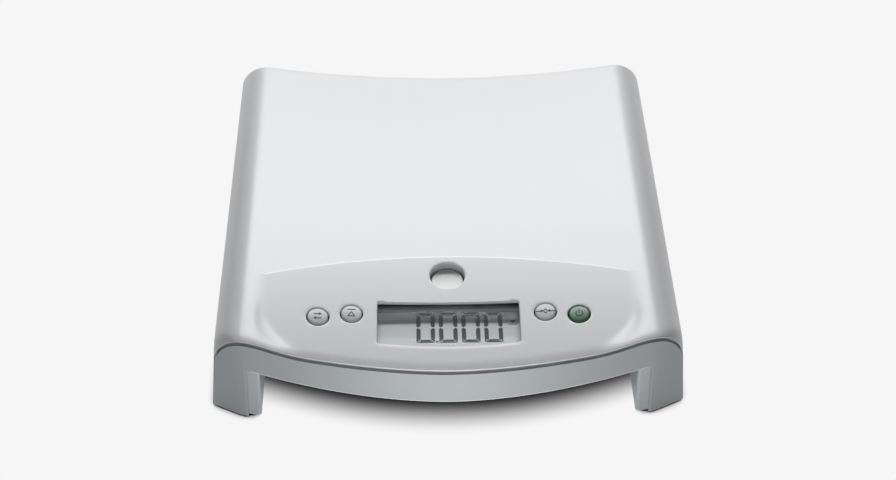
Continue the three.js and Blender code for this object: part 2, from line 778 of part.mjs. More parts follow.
function make_key(key) {
  const surface = top_z(key.x, key.y);
  const cap_radius = key_hole_radius - key_clearance;
  const cap = post(key.x, key.y, surface - 2 * shell_wall, overall_height + overrun, cap_radius, round_steps);
  const flange = post(key.x, key.y, surface - shell_wall - key_flange_depth, overall_height + overrun,
    key_flange_radius, round_steps);
  const stem = post(key.x, key.y, plunger_top_z + seat_gap, surface - shell_wall - key_flange_depth / 2,
    key_stem_radius);
  const raised = envelope(-key_proud, leg_bottom_z);
  const beneath = envelope(shell_wall + seat_gap, leg_bottom_z);
  return join([cap.intersect(raised), flange.intersect(beneath), stem]);
}

for (const key of keys) {
  add_part(`${key.name}_key_cap`, make_key(key), key.material);
  const half = switch_side / 2;
  const body = block(key.x - half, key.x + half, key.y - half, key.y + half, switch_bottom_z, switch_top_z);
  const bore = post(key.x, key.y, 0, overall_height, plunger_radius + plunger_clearance);
  add_part(`${key.name}_switch_body`, body.subtract(bore), finish.dark);
  add_part(`${key.name}_switch_plunger`,
    post(key.x, key.y, plunger_bottom_z, plunger_top_z, plunger_radius), finish.rubber);
}

// Tray release button, its spring and its guide
const release_top_z = top_z(0, release_y) - release_recess;
const release_radius = release_hole_radius - release_gap;
const flange_top_z = collar_bottom_z - seat_gap;
const flange_bottom_z = flange_top_z - release_flange_height;
const guide_floor_z = flange_bottom_z - spring_length - 2 * seat_gap;
const guide_bore_radius = release_hole_radius + collar_wall + seat_gap;
const guide_foot_z = floor_bottom_z + tray_wall + 2 * seat_gap;

function make_release_button() {
  const outline = [
    [0, flange_bottom_z],
    [release_flange_radius, flange_bottom_z],
    [release_flange_radius, flange_top_z],
    [release_radius, flange_top_z],
    [release_radius, release_top_z - release_rim / 2],
    [release_radius - release_rim / 2, release_top_z],
    [release_radius - release_rim, release_top_z],
  ];
  const dish_radius = release_radius - release_rim;
  for (let i = 1; i <= dish_steps; i++) {
    const share = 1 - i / dish_steps;
    outline.push([dish_radius * share, release_top_z - release_dish * (1 - share ** 2)]);
  }
  return turned(0, release_y, outline, round_steps);
}

function make_guide() {
  const outer = guide_bore_radius + guide_wall;
  return turned(0, release_y, [
    [0, guide_foot_z],
    [outer, guide_foot_z],
    [outer, collar_bottom_z + guide_over_collar],
    [guide_bore_radius, collar_bottom_z + guide_over_collar],
    [guide_bore_radius, guide_floor_z],
    [0, guide_floor_z],
  ], round_steps);
}

class CoilCurve extends THREE.Curve {
  getPoint(t) {
    const angle = 2 * Math.PI * spring_turns * t;
    const low = guide_floor_z + seat_gap + spring_wire_radius;
    const z = low + (spring_length - 2 * spring_wire_radius) * t;
    return new THREE.Vector3(spring_radius * Math.cos(angle), release_y + spring_radius * Math.sin(angle), z);
  }
}

function round_section(radius, sides) {
  const points = [];
  for (let i = 0; i < sides; i++) {
    const angle = 2 * Math.PI * i / sides;
    points.push(new THREE.Vector2(radius * Math.cos(angle), radius * Math.sin(angle)));
  }
  return new THREE.Shape(points);
}

function make_spring() {
  const steps = Math.round(spring_turns * spring_turn_steps);
  const geometry = new THREE.ExtrudeGeometry(round_section(spring_wire_radius, spring_sides),
    { steps, extrudePath: new CoilCurve(), bevelEnabled: false });
  return solid(geometry);
}

add_part('release_button', make_release_button(), finish.disc);
add_part('release_spring', make_spring(), finish.steel);
add_part('release_guide', make_guide(), finish.tray);

// Batteries, contacts and door
function make_cell(x) {
  const geometry = new THREE.LatheGeometry([
    new THREE.Vector2(0, 0),
    new THREE.Vector2(cell_radius, 0),
    new THREE.Vector2(cell_radius, cell_length - cell_nub_length),
    new THREE.Vector2(cell_nub_radius, cell_length - cell_nub_length),
    new THREE.Vector2(cell_nub_radius, cell_length),
    new THREE.Vector2(0, cell_length),
  ], small_round_steps);
  geometry.translate(0, battery_middle_y - cell_length / 2, 0);
  geometry.translate(x, 0, cell_middle_z);
  return geometry;
}

for (let i = 0; i < cell_count; i++) {
  const x = cell_pitch * (i - (cell_count - 1) / 2);
  const geometry = make_cell(x);
  if (i % 2 === 1) {
    geometry.translate(-x, -battery_middle_y, 0);
    geometry.rotateZ(Math.PI);
    geometry.translate(x, battery_middle_y, 0);
  }
  add_part(`battery_cell_${i + 1}`, solid(geometry), finish.battery);
}

function make_contact(end) {
  const wall_y = battery_middle_y + end * (battery_half_length - seat_gap);
  const low = cell_middle_z - contact_height / 2;
  const high = cell_middle_z + contact_height / 2;
  const range = (a, b) => [Math.min(a, b), Math.max(a, b)];
  const [y0, y1] = range(wall_y, wall_y - end * contact_thickness);
  const reach = battery_half_width - battery_side_space;
  const plate = block(-reach, reach, y0, y1, low, high);
  const leaves = [];
  for (let i = 0; i < cell_count; i++) {
    const x = cell_pitch * (i - (cell_count - 1) / 2);
    const half = contact_leaf_width / 2;
    const tip = wall_y - end * (contact_thickness + contact_leaf_reach);
    const [t0, t1] = range(tip, tip + end * contact_thickness);
    const [s0, s1] = range(wall_y - end * contact_thickness / 2, tip);
    leaves.push(block(x - half, x + half, t0, t1, cell_middle_z - half, high));
    leaves.push(block(x - half, x + half, s0, s1, high - contact_thickness, high));
  }
  return join([plate, ...leaves]);
}

add_part('battery_contact_front', make_contact(-1), finish.steel);
add_part('battery_contact_rear', make_contact(1), finish.steel);

function make_door() {
  const half = battery_half_width - door_gap;
  const plate = block(-half, half, battery_front_y + door_gap, battery_rear_y - door_gap, door_bottom_z,
    door_top_z);
  const tongues = mirror_pair.map((side) => {
    const x = side * door_tongue_x;
    const w = door_tongue_width / 2;
    return block(x - w, x + w, battery_rear_y - door_tongue_reach, battery_rear_y + door_tongue_reach - door_gap,
      door_top_z + door_gap, door_top_z + door_gap + door_tongue_height);
  });
  const legs = mirror_pair.map((side) => {
    const x = side * door_tongue_x;
    const w = door_tongue_width / 2;
    return block(x - w, x + w, battery_rear_y - door_tongue_reach, battery_rear_y - door_gap,
      door_top_z - door_thickness / 2, door_top_z + door_gap + door_tongue_height / 2);
  });
  const grip_y = battery_front_y + door_grip_length;
  const grip = block(-door_grip_width / 2, door_grip_width / 2, grip_y - door_grip_length / 2,
    grip_y + door_grip_length / 2, door_bottom_z - overrun, door_bottom_z + door_grip_depth);
  return join([plate, ...legs, ...tongues]).subtract(grip);
}

add_part('battery_door', make_door(), finish.tray);

// Load cells on their bosses, with a foot under each free end
function make_beam(cell) {
  const y = [cell.end, cell.root_y].sort((a, b) => a - b);
  const bar = block(cell.x - beam_width / 2, cell.x + beam_width / 2, y[0], y[1], beam_bottom_z,
    beam_bottom_z + beam_height);
  const middle_y = (y[0] + y[1]) / 2;
  const middle_z = beam_bottom_z + beam_height / 2;
  const lying_hole = (shift) => {
    const geometry = new THREE.CylinderGeometry(beam_hole_radius, beam_hole_radius, beam_width + overrun,
      small_round_steps);
    geometry.rotateZ(Math.PI / 2);
    geometry.translate(cell.x, middle_y + shift, middle_z);
    return solid(geometry);
  };
  const slot = block(cell.x - overrun, cell.x + overrun, middle_y - beam_hole_spacing / 2,
    middle_y + beam_hole_spacing / 2, middle_z - beam_web / 2, middle_z + beam_web / 2);
  const head_z = beam_bottom_z + beam_height - screw_head_height;
  const screw_hole = post(cell.x, cell.screw_y, 0, overall_height, screw_radius + screw_clearance);
  const sink = post(cell.x, cell.screw_y, head_z - seat_gap, overall_height, screw_head_radius + screw_clearance);
  return cut(bar, [lying_hole(-beam_hole_spacing / 2), lying_hole(beam_hole_spacing / 2), slot, screw_hole, sink]);
}

function make_foot_holder(cell) {
  const low = pad_height + seat_gap;
  return turned(cell.x, cell.foot_y, [
    [0, low],
    [foot_radius, low],
    [foot_radius, low + foot_collar_height],
    [foot_stem_radius, low + foot_collar_height],
    [foot_stem_radius, beam_bottom_z - seat_gap],
    [0, beam_bottom_z - seat_gap],
  ], foot_steps);
}

for (const cell of load_cells) {
  add_part(`load_cell_${cell.name}`, make_beam(cell), finish.alloy);
  add_part(`foot_holder_${cell.name}`, make_foot_holder(cell), finish.dark);
  add_part(`foot_pad_${cell.name}`, post(cell.x, cell.foot_y, 0, pad_height, foot_radius, foot_steps),
    finish.rubber);
}

// Screws: a round head with a shank toward +Z or -Z
function screw(x, y, head_z, length, toward) {
  const under = head_z + toward * screw_head_height;
  const tip = under + toward * length;
  const outline = [
    [0, head_z],
    [screw_head_radius, head_z],
    [screw_head_radius, under],
    [screw_radius, under],
    [screw_radius, tip],
    [0, tip],
  ];
  return turned(x, y, toward > 0 ? outline : outline.reverse(), screw_steps);
}

for (const b of boss_places) {
  const hand = b.x < 0 ? 'left' : 'right';
  const head_z = boss_seat_z() - seat_gap - screw_head_height;
  add_part(`cover_screw_${b.name}_${hand}`, screw(b.x, b.y, head_z, cover_screw_length, 1), finish.steel);
}
for (const side of mirror_pair) {
  const hand = side < 0 ? 'left' : 'right';
  const head_z = board_top_z + seat_gap + screw_head_height;
  add_part(`board_screw_${hand}`, screw(side * board_post_x, board_post_front_y, head_z, board_screw_length, -1),
    finish.steel);
}
for (const cell of load_cells) {
  add_part(`cell_screw_${cell.name}`,
    screw(cell.x, cell.screw_y, beam_bottom_z + beam_height, cell_screw_length, -1), finish.steel);
}

// Leads from the load cells and the batteries to the board, held inside the housing
function make_lead(points) {
  const curve = new THREE.CatmullRomCurve3(points.map(([x, y, z]) => new THREE.Vector3(x, y, z)));
  const geometry = new THREE.ExtrudeGeometry(round_section(lead_radius, lead_sides),
    { steps: lead_steps, extrudePath: curve, bevelEnabled: false });
  return solid(geometry);
}

const plug_y = board_rear_y + seat_gap;
const plug_z = board_bottom_z - connector_height / 2;

function floor_over(x) {
  return arch_z(x) + tray_under_arch + tray_wall;
}

const lead_lane_x = cover_boss_x - lead_lane_from_boss;
const lead_front_lane_x = cover_boss_x - lead_front_lane_from_boss;
const rear_lane_y = cover_boss_front_y + lead_rear_lane_from_boss;

for (const cell of load_cells) {
  const side = Math.sign(cell.x);
  const front = cell.toward > 0;
  const plug_x = connector_place_shares[cell.plug] * connector_pitch;
  const start_y = cell.root_y + cell.toward * seat_gap;
  const beam_middle_z = beam_bottom_z + beam_height / 2;
  const over_edge_z = floor_over(tunnel_half_width) + lead_lift;
  const rise = [
    [cell.x, start_y, beam_middle_z],
    [cell.x, start_y + cell.toward * lead_rise, beam_middle_z + lead_lift / 2],
    [cell.x, start_y + cell.toward * 2 * lead_rise, over_edge_z - lead_lift],
    [side * tunnel_half_width, start_y + cell.toward * lead_turn, over_edge_z],
  ];
  const lane_y = cell.root_y + cell.toward * lead_lane_turn;
  const across = front
    ? [[side * cover_boss_x, cover_boss_front_y + lead_turn], [side * lead_front_lane_x, cover_boss_front_y]]
    : [[side * lead_lane_x, lane_y], [side * lead_lane_x, lane_y / 4], [side * lead_rear_lane_x, rear_lane_y]];
  const run = across.map(([x, y]) => [x, y, floor_over(x) + lead_lift]);
  const finish_run = [
    [plug_x, plug_y + plug_lead_out, plug_z + lead_lift / 3],
    [plug_x, plug_y, plug_z],
  ];
  add_part(`load_cell_lead_${cell.name}`, make_lead([...rise, ...run, ...finish_run]), finish.lead);
}

const [, , battery_plug_share] = connector_place_shares;
const battery_plug_x = battery_plug_share * connector_pitch;
add_part('battery_lead', make_lead([
  [battery_plug_x, battery_front_y - tray_wall - seat_gap, cell_middle_z],
  [battery_plug_x, battery_front_y - tray_wall - plug_lead_out, cell_middle_z],
  [battery_plug_x, cover_boss_front_y + battery_lead_from_boss, floor_over(battery_plug_x) + lead_lift],
  [battery_plug_x, plug_y + plug_lead_out, plug_z + lead_lift / 3],
  [battery_plug_x, plug_y, plug_z],
]), finish.lead);

export default scale;
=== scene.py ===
import math

import bpy
import numpy as np
from mathutils import Matrix, Vector


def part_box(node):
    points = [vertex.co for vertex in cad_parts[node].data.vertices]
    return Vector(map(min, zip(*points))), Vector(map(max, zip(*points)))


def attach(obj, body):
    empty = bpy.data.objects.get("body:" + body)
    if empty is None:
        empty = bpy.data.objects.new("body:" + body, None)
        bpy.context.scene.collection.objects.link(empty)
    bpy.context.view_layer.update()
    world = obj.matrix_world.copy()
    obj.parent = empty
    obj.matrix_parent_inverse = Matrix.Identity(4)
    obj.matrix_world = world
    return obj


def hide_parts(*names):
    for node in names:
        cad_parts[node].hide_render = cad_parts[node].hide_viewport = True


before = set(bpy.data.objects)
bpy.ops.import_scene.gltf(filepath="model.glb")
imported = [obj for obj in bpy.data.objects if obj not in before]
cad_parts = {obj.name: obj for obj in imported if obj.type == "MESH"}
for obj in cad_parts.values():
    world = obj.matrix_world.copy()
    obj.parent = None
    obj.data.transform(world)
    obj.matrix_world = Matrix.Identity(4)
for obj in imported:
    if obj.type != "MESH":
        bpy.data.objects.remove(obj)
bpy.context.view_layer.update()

mm = 0.001

# Points closer than this are welded, and points are told apart to this many decimals of a metre
weld_distance = 1e-6
place_decimals = 7

# Outer form of the housing. The front curve, the turn of the legs, the ends of the panel and the drop of
# the seam follow the photograph more closely than the solids do.
half_width = 162.5 * mm
half_depth = 161 * mm
height = 70 * mm
side_flare = 0.082
back_lean = 0.02
ridge_half_width = 144 * mm
front_bulge = 15.5 * mm
front_bulge_power = 1.65
leg_turn_x = 139.9 * mm
leg_turn_width = 5 * mm
leg_set_back = 0.322
back_hollow = 7.7 * mm
shoulder_radius = 22 * mm
trough_edge_slope = 0.1
lip_radius = 0.4 * mm
least_lip_radius = 0.3 * mm
front_dip_depth = 0.6 * mm
front_dip_reach = 6 * mm
shoulder_dip_reach = 10 * mm
crease_middle_y = -57.3 * mm
crease_sweep = 28.6 * mm
panel_slope = 0.05
panel_end_drop = 1.6 * mm
panel_length = 103.7 * mm
panel_full_half_width = 85 * mm
panel_end_half_width = 133 * mm
panel_side_tight = 39 * mm
panel_side_start = 35 * mm
panel_side_fade = 65 * mm
crease_edge = 0.4 * mm
bead_height = 0.05 * mm
bead_back = 1.5 * mm
bead_width = 0.9 * mm
bead_top_share = 1.5
bead_end = 127 * mm
arch_middle_z = 27.2 * mm
arch_radius = 567 * mm
arch_half_width = 136 * mm
tunnel_half_width = 127.2 * mm
leg_draft = 0.024
leg_bottom_z = 2 * mm

# Walls, seams and edges
shell_wall = 2.2 * mm
tray_wall = 2.2 * mm
tray_inset = 2.5 * mm
seam_below_lip = 2.2 * mm
seam_gap = 3.2 * mm
seam_side_drop = 5.8 * mm
seam_side_z = 45 * mm
tray_rim_below_seam = 7 * mm
tongue_wall = 1.3 * mm
tongue_up = 0.5 * mm
tongue_down = 5 * mm
tongue_reach = 7 * mm
tray_under_arch = 2.6 * mm
arch_corner_radius = 3 * mm
hole_edge_radius = 1 * mm
apron_edge_radius = 2 * mm
leg_edge_radius = 2.5 * mm
skirt_edge_steep = 0.4

# A cutter runs this far past what it cuts
long_cut = 40 * mm

# Battery box, bosses and feet
seat_gap = 0.3 * mm
battery_side_space = 1.6 * mm
battery_end_space = 4 * mm
door_thickness = 2 * mm
door_tongue_x = 19 * mm
door_tongue_room = 4.9 * mm
door_tongue_height = 2 * mm
boss_radius = 4.2 * mm
boss_split = 0.3 * mm
head_height = 1.9 * mm
screw_head_room = 3.2 * mm
shank_room = 1.8 * mm
beam_boss_length = 16 * mm
foot_hole_radius = 8.4 * mm
foot_hole_edge = 0.6 * mm
corners = ["front_left", "front_right", "rear_left", "rear_right"]
boss_screws = [f"cover_screw_{row}_{hand}"
               for row in ("front", "middle", "rear") for hand in ("left", "right")]

# Display and keys
display_half_width = 48.3 * mm
display_rear_y = -99.5 * mm
display_front_y = -138.6 * mm
display_corner_radius = 1.6 * mm
key_hole_radius = 7.8 * mm
key_radius = 6.9 * mm
key_proud = 0.5 * mm
release_hole_radius = 12.1 * mm
release_collar_wall = 2 * mm
release_collar_depth = 6.6 * mm

key_dome = 0.35 * mm
key_edge_radius = 0.8 * mm
key_stem_radius = 3 * mm
key_flange_radius = 9.3 * mm
key_flange_depth = 2 * mm
ink_thickness = 0.08 * mm
sign_size = 1.25 * mm
release_radius = 10.9 * mm
release_edge = 0.5 * mm
release_rim = 1 * mm
release_dish = 1.2 * mm
release_flange_radius = 13.4 * mm
release_flange_height = 1.6 * mm
release_pole_radius = 0.3 * mm

# Digits of the display, in millimetres
digit_count = 4
digit_left = -21.9
digit_pitch = 15.4
digit_width = 12.6
digit_low = -128.4
digit_high = -99.9
digit_stroke = 2.9
digit_gap = 0.32
digit_dot = 1.7
digit_dot_x = -8.75
unit_mark_x = 44
unit_mark_y = -109

# Feet, screws, battery door and small rounded edges
foot_radius = 7 * mm
head_radius = 2.9 * mm
shank_radius = 1.5 * mm
screw_pole_radius = 0.2 * mm
cross_reach = 3.2 * mm
cross_width = 0.7 * mm
cross_depth = 1.2 * mm
door_grip_half = 10.2 * mm
door_grip_length = 7 * mm
door_rib_pitch = 1.6 * mm
door_rib_width = 0.7 * mm
door_rib_sunk = 0.1 * mm
door_rib_top = 1.3 * mm
door_rib_edge = 0.15 * mm
door_rib_count = 4
door_edge_radius = 0.35 * mm
window_edge_radius = 0.2 * mm
frame_edge_radius = 0.4 * mm

# Where painted highlights on rounded edges, and the painted shade on the sides of the display's frame,
# begin and end
edge_paint_share = 0.95
edge_paint_depth = 0.004 * mm
edge_paint_upward = 0.1
rim_paint_depth = 0.3 * mm
arch_paint_forward = (-0.97, -0.15)
frame_top_upward = 0.7

# Cross-section of the top, worked out from the form above
wall_lean = math.atan(side_flare)
trough_edge_angle = math.atan(trough_edge_slope)
shoulder_z = height - shoulder_radius
shoulder_x = half_width - (shoulder_radius + shoulder_z * math.sin(wall_lean)) / math.cos(wall_lean)
trough_edge_x = shoulder_x - shoulder_radius * math.sin(trough_edge_angle)
trough_edge_z = shoulder_z + shoulder_radius * math.cos(trough_edge_angle)
trough_bend = trough_edge_slope / 2 / trough_edge_x

# Camera, fitted to the photograph
photo_width_px = 896
focal_px = 1669.5
camera_place = Vector((-24.66, -913.92, 860.56)) * mm
camera_yaw = 0.0296
camera_pitch = 0.7388
camera_roll = 0.0107
sensor_width = 36


def place_camera():
    forward = Vector((
        math.sin(camera_yaw) * math.cos(camera_pitch),
        math.cos(camera_yaw) * math.cos(camera_pitch),
        -math.sin(camera_pitch),
    ))
    level = Vector((math.cos(camera_yaw), -math.sin(camera_yaw), 0))
    upright = level.cross(forward)
    right = level * math.cos(camera_roll) + upright * math.sin(camera_roll)
    up = upright * math.cos(camera_roll) - level * math.sin(camera_roll)
    data = bpy.data.cameras.new("camera")
    data.sensor_width = sensor_width
    data.lens = focal_px / photo_width_px * sensor_width
    data.clip_start = 0.01
    camera = bpy.data.objects.new("camera", data)
    bpy.context.scene.collection.objects.link(camera)
    turn = Matrix((right, up, -forward)).transposed()
    camera.matrix_world = Matrix.Translation(camera_place) @ turn.to_4x4()
    bpy.context.scene.camera = camera


place_camera()


# Outer form
def front_y(x, z):
    """The front bulges forward in the middle, and falls back again across the legs."""
    bulge = front_bulge * np.abs(x / ridge_half_width) ** front_bulge_power
    reach = np.abs(x) - leg_turn_x
    turned_in = np.clip(reach + leg_turn_width, 0, 2 * leg_turn_width) ** 2 / (4 * leg_turn_width)
    corner = leg_set_back * (turned_in + np.maximum(0, reach - leg_turn_width))
    return -half_depth + bulge + corner + side_flare * (z - arch_middle_z)


def back_y(x, z):
    reach = np.minimum(1, (x / ridge_half_width) ** 2)
    return half_depth - back_hollow * (1 - reach) - back_lean * z


def crease_y(x):
    return crease_middle_y - crease_sweep * (x / ridge_half_width) ** 2


def trough_z(x):
    return trough_edge_z - trough_bend * (trough_edge_x ** 2 - x ** 2)


def eased(share):
    t = np.clip(share, 0, 1)
    return t * t * (3 - 2 * t)


def panel_drop(x, y):
    """How far the control panel lies below the trough: its ends come up steeply near the crease."""
    distance = np.maximum(0, crease_y(x) - y)
    sink = panel_slope * distance + panel_end_drop * (distance / panel_length) ** 2
    gentle = eased((distance - panel_side_start) / panel_side_fade)
    full = panel_full_half_width + panel_side_tight * (1 - gentle)
    return sink * (1 - eased((np.abs(x) - full) / (panel_end_half_width - full)))


def crease_bead(x, y):
    """The hair's breadth by which the platform's front edge stands up."""
    back = (y - crease_y(x) - bead_back) / bead_width
    fade = 1 - eased((np.abs(x) - bead_end) / (panel_end_half_width - bead_end))
    return bead_height * np.exp(-back ** 2) * fade


def shoulder_reach(x):
    """0 over the trough, rising to 1 at the outermost point of the rounded shoulder."""
    return np.clip((np.abs(x) - shoulder_x) / shoulder_radius, 0, 1)


def front_dip(x, y):
    """How far the surface bends down to the seam in the last few millimetres before the front edge."""
    back = y - front_y(x, height)
    near = np.clip(1 - back / front_dip_reach, 0, 1)
    near_shoulder = np.clip(1 - back / shoulder_dip_reach, 0, 1)
    return front_dip_depth * near ** 2 + seam_side_drop * (shoulder_reach(x) * near_shoulder) ** 2


def top_z(x, y):
    return trough_z(x) - panel_drop(x, y) - front_dip(x, y)


def seam_z(x):
    """Level of the seam between cover and skirt, which runs level along the sides."""
    across = np.abs(x)
    y = front_y(across, height) + lip_radius
    level = np.where(across <= trough_edge_x, trough_z(across), height)
    below = lip_radius + front_dip_depth + seam_below_lip
    flat = level - panel_drop(across, y) - below
    reach = shoulder_reach(x)
    round_part = shoulder_z + shoulder_radius * np.sqrt(1 - reach ** 2) - below
    round_part = np.maximum(round_part - seam_side_drop * reach ** 2, seam_side_z)
    return np.where(across <= shoulder_x, flat, round_part)


def arch_z(x):
    """Level of the arched lower edge between the legs."""
    return arch_middle_z + x ** 2 / (2 * arch_radius)


# Modelling helpers
def only(piece):
    bpy.ops.object.select_all(action="DESELECT")
    piece.select_set(True)
    bpy.context.view_layer.objects.active = piece


def fresh(name):
    piece = bpy.context.object
    piece.name = name
    piece.data.name = name
    return piece


def in_edit(piece, mode="VERT"):
    only(piece)
    bpy.ops.object.mode_set(mode="EDIT")
    bpy.ops.mesh.select_mode(type=mode)


def face_outwards(piece):
    in_edit(piece)
    bpy.ops.mesh.select_all(action="SELECT")
    bpy.ops.mesh.normals_make_consistent(inside=False)
    bpy.ops.object.mode_set(mode="OBJECT")


def settle(piece):
    only(piece)
    bpy.ops.object.transform_apply(location=True, rotation=True, scale=True)


def smooth(piece, degrees=35):
    only(piece)
    bpy.ops.object.shade_smooth_by_angle(angle=math.radians(degrees))


def use_modifier(piece, kind, **settings):
    modifier = piece.modifiers.new(kind.lower(), kind)
    for key, value in settings.items():
        setattr(modifier, key, value)
    only(piece)
    bpy.ops.object.modifier_apply(modifier=modifier.name)


def combine(piece, tool, operation):
    use_modifier(piece, "BOOLEAN", object=tool, operation=operation, solver="MANIFOLD")
    bpy.data.objects.remove(tool)


def cut(piece, tool):
    combine(piece, tool, "DIFFERENCE")


def rounded_place(vertex):
    return tuple(round(c, place_decimals) for c in vertex.co)


def loft(name, loops):
    """A closed solid through loops of points, each loop with as many points as the first."""
    bpy.ops.object.select_all(action="DESELECT")
    bpy.ops.mesh.primitive_circle_add(vertices=len(loops[0]), fill_type="NGON")
    piece = fresh(name)
    order = list(range(len(loops[0])))
    for step, loop in enumerate(loops):
        if step:
            before = {rounded_place(piece.data.vertices[i]): k for k, i in enumerate(order)}
            in_edit(piece, "FACE")
            bpy.ops.mesh.extrude_region_move()
            bpy.ops.object.mode_set(mode="OBJECT")
            order = [0] * len(loop)
            for vertex in piece.data.vertices:
                if vertex.select:
                    order[before[rounded_place(vertex)]] = vertex.index
        for k, i in enumerate(order):
            piece.data.vertices[i].co = loop[k]
        for vertex in piece.data.vertices:
            vertex.select = False
        for edge in piece.data.edges:
            edge.select = False
        chosen = set(order)
        for polygon in piece.data.polygons:
            polygon.select = set(polygon.vertices) == chosen
            for i in polygon.vertices if polygon.select else ():
                piece.data.vertices[i].select = True
    face_outwards(piece)
    return piece


def prism_along_y(name, outline, y0, y1):
    return loft(name, [[(x, y, z) for x, z in outline] for y in (y0, y1)])


def turned(name, x, y, marks, steps=64):
    """A closed solid turned about an upright axis, through marks of radius and height."""
    turns = [2 * math.pi * k / steps for k in range(steps)]
    return loft(name, [[(x + r * math.cos(a), y + r * math.sin(a), z) for a in turns] for r, z in marks])


def block(name, low, high):
    bpy.ops.object.select_all(action="DESELECT")
    middle = [(a + b) / 2 for a, b in zip(low, high)]
    bpy.ops.mesh.primitive_cube_add(size=1, location=middle)
    piece = fresh(name)
    piece.scale = [b - a for a, b in zip(low, high)]
    settle(piece)
    return piece


def soften(piece, width, segments=3, degrees=40):
    """Rounds the sharp edges, as a mould or a die leaves them."""
    use_modifier(piece, "BEVEL", width=width, segments=segments, limit_method="ANGLE",
                 angle_limit=math.radians(degrees))
    smooth(piece)


def refined(node, width, segments=2):
    """A copy of a solid with its facets welded and its sharp edges rounded."""
    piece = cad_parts[node].copy()
    piece.data = piece.data.copy()
    piece.name = f"{node}_finished"
    piece.data.name = piece.name
    for key in list(piece.keys()):
        del piece[key]
    piece.parent = None
    bpy.context.scene.collection.objects.link(piece)
    in_edit(piece)
    bpy.ops.mesh.select_all(action="SELECT")
    bpy.ops.mesh.remove_doubles(threshold=weld_distance)
    bpy.ops.mesh.dissolve_limited(angle_limit=math.radians(1))
    bpy.ops.object.mode_set(mode="OBJECT")
    if piece.data.has_custom_normals:
        bpy.ops.mesh.customdata_custom_splitnormals_clear()
    soften(piece, width, segments)
    return piece


def join(name, pieces):
    only(pieces[0])
    for piece in pieces[1:]:
        piece.select_set(True)
    bpy.ops.object.join()
    pieces[0].name = name
    pieces[0].data.name = name
    return pieces[0]


def fit(piece, body, slot, *nodes):
    """Sets a finished piece in the model: what it rides on and the solids it stands for, which it hides.
    The slot is not used.
    """
    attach(piece, body)
    if nodes:
        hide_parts(*nodes)
    return piece


def circle(x, y, radius, steps=72):
    """Points round a centre with the direction that leads outwards at each."""
    turns = [2 * math.pi * k / steps for k in range(steps)]
    return [(x + radius * math.cos(a), y + radius * math.sin(a), math.cos(a), math.sin(a)) for a in turns]


def rounded_edge(radius, steps):
    """How far a quarter round lies back and down, from its foot to its top."""
    angles = [math.pi / 2 * k / steps for k in range(steps + 1)]
    return [(radius * (1 - math.cos(a)), radius * (1 - math.sin(a))) for a in angles]


def edge_profile(radius, steps=4, last=80):
    """Outward reach and depth below the surface, up a rounded edge and out past it."""
    marks = [(0, radius)]
    for k in range(1, steps + 1):
        angle = math.radians(last * k / steps)
        marks.append((radius * (1 - math.cos(angle)), radius * (1 - math.sin(angle))))
    slope = math.radians(last)
    marks.append((marks[-1][0] + radius * math.sin(slope), marks[-1][1] - radius * math.cos(slope)))
    return marks


def hole_cutter(name, outline):
    """Cuts straight down through the cover, with a rounded edge where it comes out."""
    loops = [[(x, y, surface(x, y) - long_cut) for x, y, nx, ny in outline]]
    for reach, down in edge_profile(hole_edge_radius):
        loops.append([
            (x + nx * reach, y + ny * reach, surface(x + nx * reach, y + ny * reach) - down)
            for x, y, nx, ny in outline])
    loops.append([(x, y, z + long_cut) for x, y, z in loops[-1]])
    return loft(name, loops)


def profile_columns(trough_steps=48, shoulder_steps=18):
    """Cross-section of the top from left to right: places and outward normals."""
    x = trough_edge_x * np.arange(trough_steps + 1) / trough_steps
    slope = trough_edge_slope * x / trough_edge_x
    length = np.hypot(slope, 1)
    trough = np.stack([x, trough_z(x), -slope / length, 1 / length], 1)
    start = -trough_edge_angle
    angle = start + (math.pi / 2 - wall_lean - start) * np.arange(1, shoulder_steps + 1) / shoulder_steps
    nx, nz = np.sin(angle), np.cos(angle)
    shoulder = np.stack([shoulder_x + shoulder_radius * nx, shoulder_z + shoulder_radius * nz, nx, nz], 1)
    right = np.concatenate([trough, shoulder])
    left = right[:0:-1] * np.array([-1, 1, -1, 1])
    return np.concatenate([left, right])


def depth_rows(inset, lip_steps=8, panel_steps=30, platform_steps=36):
    """Rows from front to back as the roll at the edge and a function that gives Y."""
    radius = max(lip_radius - inset, least_lip_radius)
    lip = rounded_edge(radius, lip_steps)
    rows = []
    for back, roll in lip:
        rows.append((roll, lambda x, z, b=back: front_y(x, z) + inset + b))
    # Rows close together where the surface bends down to the seam
    for share in (0.08, 0.17, 0.28, 0.4, 0.55, 0.75, 1):
        rows.append((0, lambda x, z, back=share * shoulder_dip_reach:
                     front_y(x, z) + inset + radius + back))
    for k in range(1, panel_steps + 1):
        share = k / panel_steps
        rows.append((0, lambda x, z, t=share:
                     (1 - t) * (front_y(x, z) + inset + radius + shoulder_dip_reach)
                     + t * (crease_y(x) - crease_edge)))
    # Rows across the fine rim behind the crease, with bead_top_share on its top
    bead_shares = (0.4, 1, bead_top_share, 2, 2.6, 3.4, 4.4)
    for share in bead_shares:
        rows.append((0, lambda x, z, back=share * bead_back / bead_top_share: crease_y(x) + back))
    bead_space = bead_shares[-1] * bead_back / bead_top_share
    for k in range(1, platform_steps + 1):
        share = k / platform_steps
        rows.append((0, lambda x, z, t=share: (1 - t) * (crease_y(x) + bead_space)
                     + t * (back_y(x, z) - inset - radius)))
    for back, roll in lip[-2::-1]:
        rows.append((roll, lambda x, z, b=back: back_y(x, z) - inset - b))
    return rows


